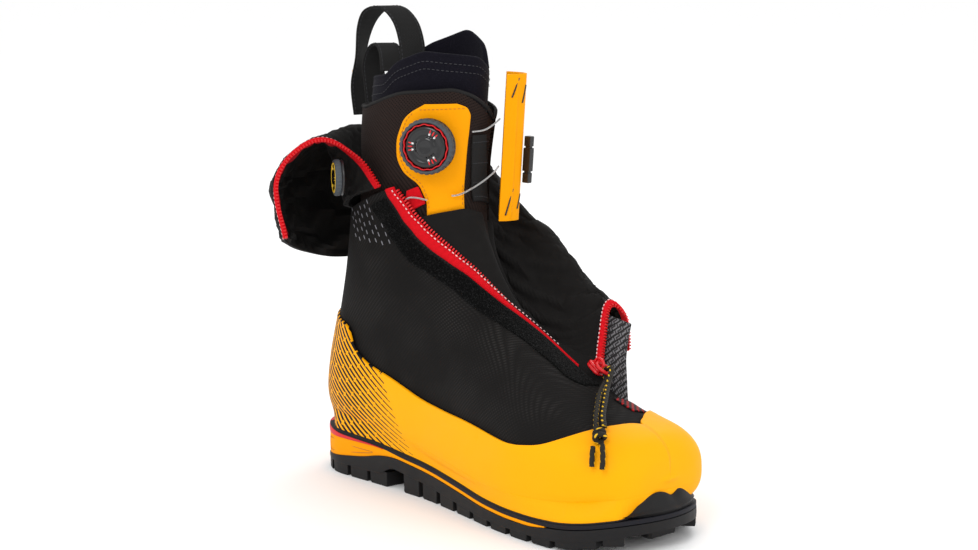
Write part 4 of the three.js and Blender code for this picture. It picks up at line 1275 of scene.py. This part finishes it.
def make_wing():
    z, t = np.meshgrid(np.linspace(*WING_SPAN, 90), np.linspace(0, 1, 60), indexing="ij")
    grid = wing_point(z, t)
    crease = 0.9 * np.exp(-((t - 0.27) / 0.035) ** 2)
    ends = np.clip(np.minimum(z - WING_SPAN[0], WING_SPAN[1] - z) / 5, 0, 1)
    grid = grid - grid_normals(grid) * (crease * ends)[..., None]
    finish_piece(thick_cloth("wing", grid, 2.0), "yellow_leather", stands_for=["lace_wing"])
    k = np.linspace(0, 1, 6)
    for number, (z0, z1, t0, t1) in enumerate(WING_SLITS, 1):
        line = wing_point(z0 + (z1 - z0) * k, t0 + (t1 - t0) * k) + np.array([0.2125, -0.125, 0])
        finish_piece(tube(f"wing_slit_{number}", line, 0.55, 8, 24), "black_plastic")


def make_wing_guide():
    """The black plate in front of the wing: three wide blocks on a narrow bar."""
    x, y, middle_z = np.array(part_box("lace_wing_guide")).mean(axis=0) / MM
    points, faces = [], []
    for z0, z1, wide, deep in ((-16, -9, 3.1, 1), (-8, 8, 3.6, 1), (9, 16, 3.1, 1),
                               (-15.8, 15.8, 2.3, 0.75)):
        section = [(-wide, -2.1), (wide, -2.1), (wide, 1.3), (wide - 1.2, 2.1),
                   (1.2 - wide, 2.1), (-wide, 1.3)]
        add_prism(points, faces, [[(x + dx + WING_LEAN * z, y + dy * deep, middle_z + z)
                                   for dx, dy in section] for z in (z0, z1)])
    guide = object_from("wing_guide", points, faces, blocks=True)
    finish_piece(guide, "black_plastic", bevel=0.5, stands_for=["lace_wing_guide"])


LACES = {
    "lace_upper": [[93.5, -6, 249.5], [97, 2, 250.5], [100, 7.5, 254], [102.6, 11.2, 258]],
    "lace_middle": [[87.6, -19, 207], [90.5, -13.5, 208], [94.5, -6, 212], [97.5, 2, 217],
                    [100, 8, 222], [101.2, 11.2, 226]],
    "lace_lower": [[63.5, -38.6, 204], [67, -37.2, 205.5], [72, -34.4, 205.2],
                   [76.5, -31.2, 204]],
}


def make_laces():
    for node, route in LACES.items():
        finish_piece(tube(node + "_cable", route, 0.6, 14, 60), "steel", stands_for=[node])


# Each strap: its CAD node, width, thickness, material and thread, its middle line, and the
# direction of its width at each of that line's points.
STRAPS = {
    "rear_loop_strap": (
        "rear_pull_loop", 18, 1.6, "webbing", "dark_thread",
        [[-28, 0, 252], [-32, 0, 272], [-32, 0, 293], [-29, 2, 314], [-19, 3, 326],
         [-6, 7, 328], [5, 10, 319], [11, 11, 304], [13.5, 10, 287]],
        [[0.2, 1, 0], [0.05, 1, 0], [-0.45, 0.9, 0], [-0.2, 1, 0], [0.2, 1, 0],
         [0.4, 0.9, 0], [0.55, 0.8, 0], [0.6, 0.8, 0], [0.3, 0.9, 0]]),
    "second_loop_strap": (
        "second_pull_loop", 16, 1.6, "webbing", "dark_thread",
        [[-15, 1, 258], [-19, 2, 274], [-20.5, 2, 288], [-15, 2, 299], [-5, 0, 303],
         [3, -2, 298], [7, -4, 285]],
        [[0.5, 0.87, 0]] * 3 + [[0.55, 0.84, 0]] * 2 + [[0.5, 0.87, 0], [0.3, 0.9, 0]]),
    "back_tab_strip": (
        "back_tab", 12, 1.4, "yellow_leather", "thread",
        [[-35, 3, 252], [-36.5, 3, 262], [-37.5, 3, 273], [-38, 3, 283]], [[0, 1, 0]] * 4),
}


def make_strap(name, node, wide, thick, material, thread, route, across):
    stations = np.linspace(0, len(route) - 1, 111)
    middle = between(route, stations)
    side = unit(between(across, stations))
    normal = unit(np.cross(unit(np.gradient(middle, axis=0)), side))
    t = np.linspace(-1, 1, 13)[None, :, None]
    flat = middle[:, None] + side[:, None] * (wide / 2) * t
    swell = normal[:, None] * (thick / 2) * (1 - 0.35 * np.abs(t) ** 6)
    finish_piece(slab_between(name, flat + swell, flat - swell), material, stands_for=[node])
    for sign, edge in ((-1, "a"), (1, "b")):
        for face, label in ((-1, "a"), (1, "b")):
            line = middle + side * (wide / 2 - 1.6) * sign + normal * (thick / 2) * face
            stitches(f"{name}_stitch_{edge}{label}", line, normal * face, 3.0, (1.9, 0.45, 0.3),
                     thread, material)


def make_loops():
    for name, strap in STRAPS.items():
        make_strap(name, *strap)


# ---------------------------------------------------------------- dials
def aimed(place, direction):
    """The matrix that moves a shape built on the Z axis to a place and a direction."""
    axis = Vector(direction).normalized()
    turn = Vector((0, 0, 1)).rotation_difference(axis).to_matrix().to_4x4()
    return np.array(Matrix.Translation(Vector(place)) @ turn)


def carried(points, matrix):
    return points @ matrix[:3, :3].T + matrix[:3, 3]


def turned(name, profile, matrix, sides=96, relief=None):
    """A lathed piece on a dial's axis; relief changes the radius with turn and row."""
    turn = np.linspace(0, 2 * math.pi, sides + 1)
    grid = np.zeros((len(profile), sides + 1, 3))
    for row, (radius, height) in enumerate(profile):
        r = radius + (relief(turn, row) if relief else 0) * (radius > 0)
        grid[row] = np.column_stack([r * np.cos(turn), r * np.sin(turn), np.full(sides + 1, height)])
    faces = quads(len(profile), sides + 1)
    if profile[0][0] > 0:
        end = (len(profile) - 1) * (sides + 1)
        faces += [(k, k + 1, end + k + 1, end + k) for k in range(sides)]
    return object_from(name, carried(grid.reshape(-1, 3), matrix), faces)


# Half sections of a dial's pieces: radius and height from the patch, at the liner dial's size.
DIAL = {
    "base": [(2.2, 2.9), (18.3, 2.9), (18.5, 3.6), (17.8, 5.2), (8.2, 5.2), (8.2, 4), (2.2, 4)],
    "spool": [(2.2, 4.4), (7.6, 4.4), (7.6, 5.2), (5.2, 5.7), (5.2, 6.3), (7.6, 6.9),
              (7.6, 7.6), (2.2, 7.6)],
    "shaft": [(0, 3.2), (1.8, 3.2), (1.8, 8.4), (0, 8.4)],
    "rim": [(15.9, 5.6), (18.2, 5.6), (18.75, 6.6), (18.8, 8), (18.8, 9.6), (18.6, 10.8),
            (18.0, 11.7), (17.2, 12.2), (16.5, 12.2), (15.9, 11.4)],
    "ring": [(14.45, 9), (15.3, 9), (15.45, 11.2), (15.2, 12.3), (14.9, 12.5), (14.6, 12.2)],
    "cap": [(0, 8.8), (14.0, 8.8), (14.0, 11.2), (13.4, 12.0), (12.0, 12.4), (10.4, 12.3),
            (9.8, 11.9), (7.2, 11.9), (6.6, 12.3), (6.2, 12.8), (4.5, 13.0), (3.4, 12.9),
            (2.8, 12.6), (0, 12.6)],
}
MARK_HEIGHT = 12.2


def make_dial(prefix, place, direction, scale, ring_material, marks):
    def knurl(turn, row):
        ridge = np.sin(turn * 30)
        depth = 0.55 if 1 <= row <= 6 else 0.0
        return -depth * scale * (0.5 - 0.5 * np.sign(ridge) * np.abs(ridge) ** 0.4)

    def ripple(turn, row):
        return 0.28 * scale * np.sin(turn * 15)

    matrix = aimed(place, direction)
    knob = f"{prefix}_knob"
    for name, material, body, sides, relief, bevel in (
            ("base", "black_plastic", "boot", 96, None, 0.25),
            ("spool", "black_plastic", knob, 96, None, 0.25),
            ("shaft", "steel", f"{prefix}_stem", 48, None, 0.25),
            ("rim", "dial_grip", knob, 360, knurl, 0),
            ("ring", ring_material, knob, 240, ripple, 0),
            ("cap", "gloss_black", knob, 96, None, 0)):
        profile = [(r * scale, h * scale) for r, h in DIAL[name]]
        piece = turned(f"{prefix}_{name}_part", profile, matrix, sides, relief)
        finish_piece(piece, material, body, [f"{prefix}_{name}"], bevel * scale)
    # Three windows round the cap, each with small coloured marks in it.
    for name, material, radius, spread, count, size in marks:
        turns = np.radians([90 + 120 * window + spread * (k - (count - 1) / 2)
                            for window in range(3) for k in range(count)])
        across, up = np.cos(turns), np.sin(turns)
        places = np.stack([radius * across, radius * up, MARK_HEIGHT + 0 * turns], axis=1) * scale
        ahead = np.stack([-up, across, 0 * turns], axis=1) @ matrix[:3, :3].T
        row = beads(f"{prefix}_{name}", carried(places, matrix), ahead,
                    [matrix[:3, 2]] * len(turns), np.array(size) * scale)
        finish_piece(row, material, body=knob)


def make_dials():
    make_dial("liner_dial", (78.7, -29.6, 241), (0.53, -0.848, 0), 1.0, "red_plastic",
              (("red_marks", "red_plastic", 10.6, 13, 3, (1.0, 3.6, 0.8)),
               ("white_marks", "white_mark", 9.2, 26, 2, (1.3, 2.2, 0.8)),
               ("hub_marks", "black_plastic", 7.6, 15, 4, (1.2, 0.8, 0.7))))
    make_dial("outer_dial", (25, -60, 217), (-0.5, -0.866, 0), 0.66, "yellow_plastic",
              (("marks", "yellow_plastic", 10.6, 14, 2, (1.0, 3.2, 0.8)),))


# ---------------------------------------------------------------- slider, puller and cord
SLIDER = Vector((182, 24.5, 98.6))
FORWARD = Vector((0.87, -0.12, -0.47)).normalized()
SIDE = Vector((0.42, 0.27, 0.87)).cross(FORWARD).normalized()
UP = FORWARD.cross(SIDE)
# The slider body's levels: height and share of its full outline.
SLIDER_LEVELS = [(-2, 0.9), (-1.7, 0.98), (-0.4, 1), (-0.2, 0.9), (0.3, 0.9), (0.5, 1),
                 (1.6, 0.98), (2.0, 0.88)]
BRIDGE = [(-4.0, 0, 1.6), (-3.9, 0, 4.4), (-2.4, 0, 6.3), (0, 0, 6.6), (2.4, 0, 6.3),
          (3.9, 0, 4.4), (4.0, 0, 1.6)]
CORD_LOOP = [[238.2, -24, 77.2], [229, -16, 81.6], [217, -2, 87.6], [207, 10, 92.2],
             [200.6, 19, 97.6], [196.8, 23.6, 100.6], [190, 24.8, 98.4], [193.2, 22, 92.8],
             [199, 14.5, 91.6], [207, 2.5, 88.6], [217, -9.5, 84], [227, -20.5, 79.4],
             [234.6, -28, 74.4]]
CORD_TAILS = {
    "cord_tail_front": [[244.8, -32.6, 68.8], [248.1, -35.4, 64.8], [250.5, -37.7, 60.5],
                        [251.9, -39.6, 55.6]],
    "cord_tail_rear": [[241.2, -37, 67.4], [243, -39.4, 63.6], [244.4, -41, 60],
                       [245.2, -42, 56.4]],
}
KNOT = [240.2, -30.4, 73.2]
KNOT_AXIS = [0.52, -0.62, -0.58]


def local_points(points):
    basis = np.array([FORWARD, SIDE, UP])
    return np.asarray(points, float) @ basis + np.array(SLIDER)


def make_slider():
    """The slider: a shield-shaped body with a bridge, and the red ring of the puller."""
    turn = np.linspace(0, 2 * math.pi, 41)[:-1]
    x, y = np.cos(turn), np.sin(turn)
    shape = np.column_stack([6.5 * np.sign(x) * np.abs(x) ** 0.6,
                             4.5 * np.sign(y) * np.abs(y) ** 0.55])
    grid = ring_grid([np.column_stack([shape * grow, np.full(40, height)])
                      for height, grow in SLIDER_LEVELS])
    top = (len(grid) - 1) * 41
    faces = quads(len(grid), 41) + [tuple(range(40)), tuple(top + k for k in range(39, -1, -1))]
    body = object_from("slider_body", local_points(grid.reshape(-1, 3)), faces)
    finish_piece(body, "red_metal", body="slider", stands_for=["zip_slider"])
    bridge = tube("slider_bridge", local_points(BRIDGE), 0.95, 12, 48)
    finish_piece(bridge, "red_metal", body="slider")
    angle = np.linspace(0, 2 * math.pi, 25)
    ring = np.column_stack([5.6 + 5.6 * np.cos(angle), 5.6 * np.sin(angle), np.full(25, 3.9)])
    loop = tube("pull_ring", local_points(ring), 1.15, 14, 96, closed_ends=False)
    finish_piece(loop, "red_plastic", body="puller", stands_for=["puller_ring"])


def make_cord():
    """Black braided cord with yellow flecks, doubled through the ring, knotted, two tails."""
    angle = np.linspace(0, 4 * math.pi, 90)
    swell = 2.1 + 1.1 * np.sin(np.linspace(0, math.pi, 90))
    wrap = np.column_stack([swell * np.cos(angle), swell * np.sin(angle),
                            np.linspace(-3.4, 3.4, 90)])
    knot = tube("knot_wraps", carried(wrap, aimed(KNOT, KNOT_AXIS)), 1.75, 14, 150)
    others = [finish_piece(knot, "cord", body="puller", stands_for=["cord_knot"])]
    for node, route in CORD_TAILS.items():
        tail = tube(node + "_braid", route, 1.7, 16, 60)
        others.append(finish_piece(tail, "cord", body="puller", stands_for=[node]))
    loop = tube("cord_braid", CORD_LOOP, 1.7, 16, 260)
    finish_piece(loop, "cord", body="puller", stands_for=["puller_cord"])
    route = between(CORD_LOOP, np.linspace(0, len(CORD_LOOP) - 1, 60)) * MM


# ---------------------------------------------------------------- build
make_camera()
make_cord()
make_studio()
make_sole()
make_bumper()
make_rand()
make_rand_foot()
make_shell()
make_hook_band()
make_outer_zip()
make_gusset()
make_reflectors()
make_collars()
make_flap()
make_liner()
make_patch()
make_guides()
make_wing()
make_wing_guide()
make_laces()
make_loops()
make_dials()
make_slider()
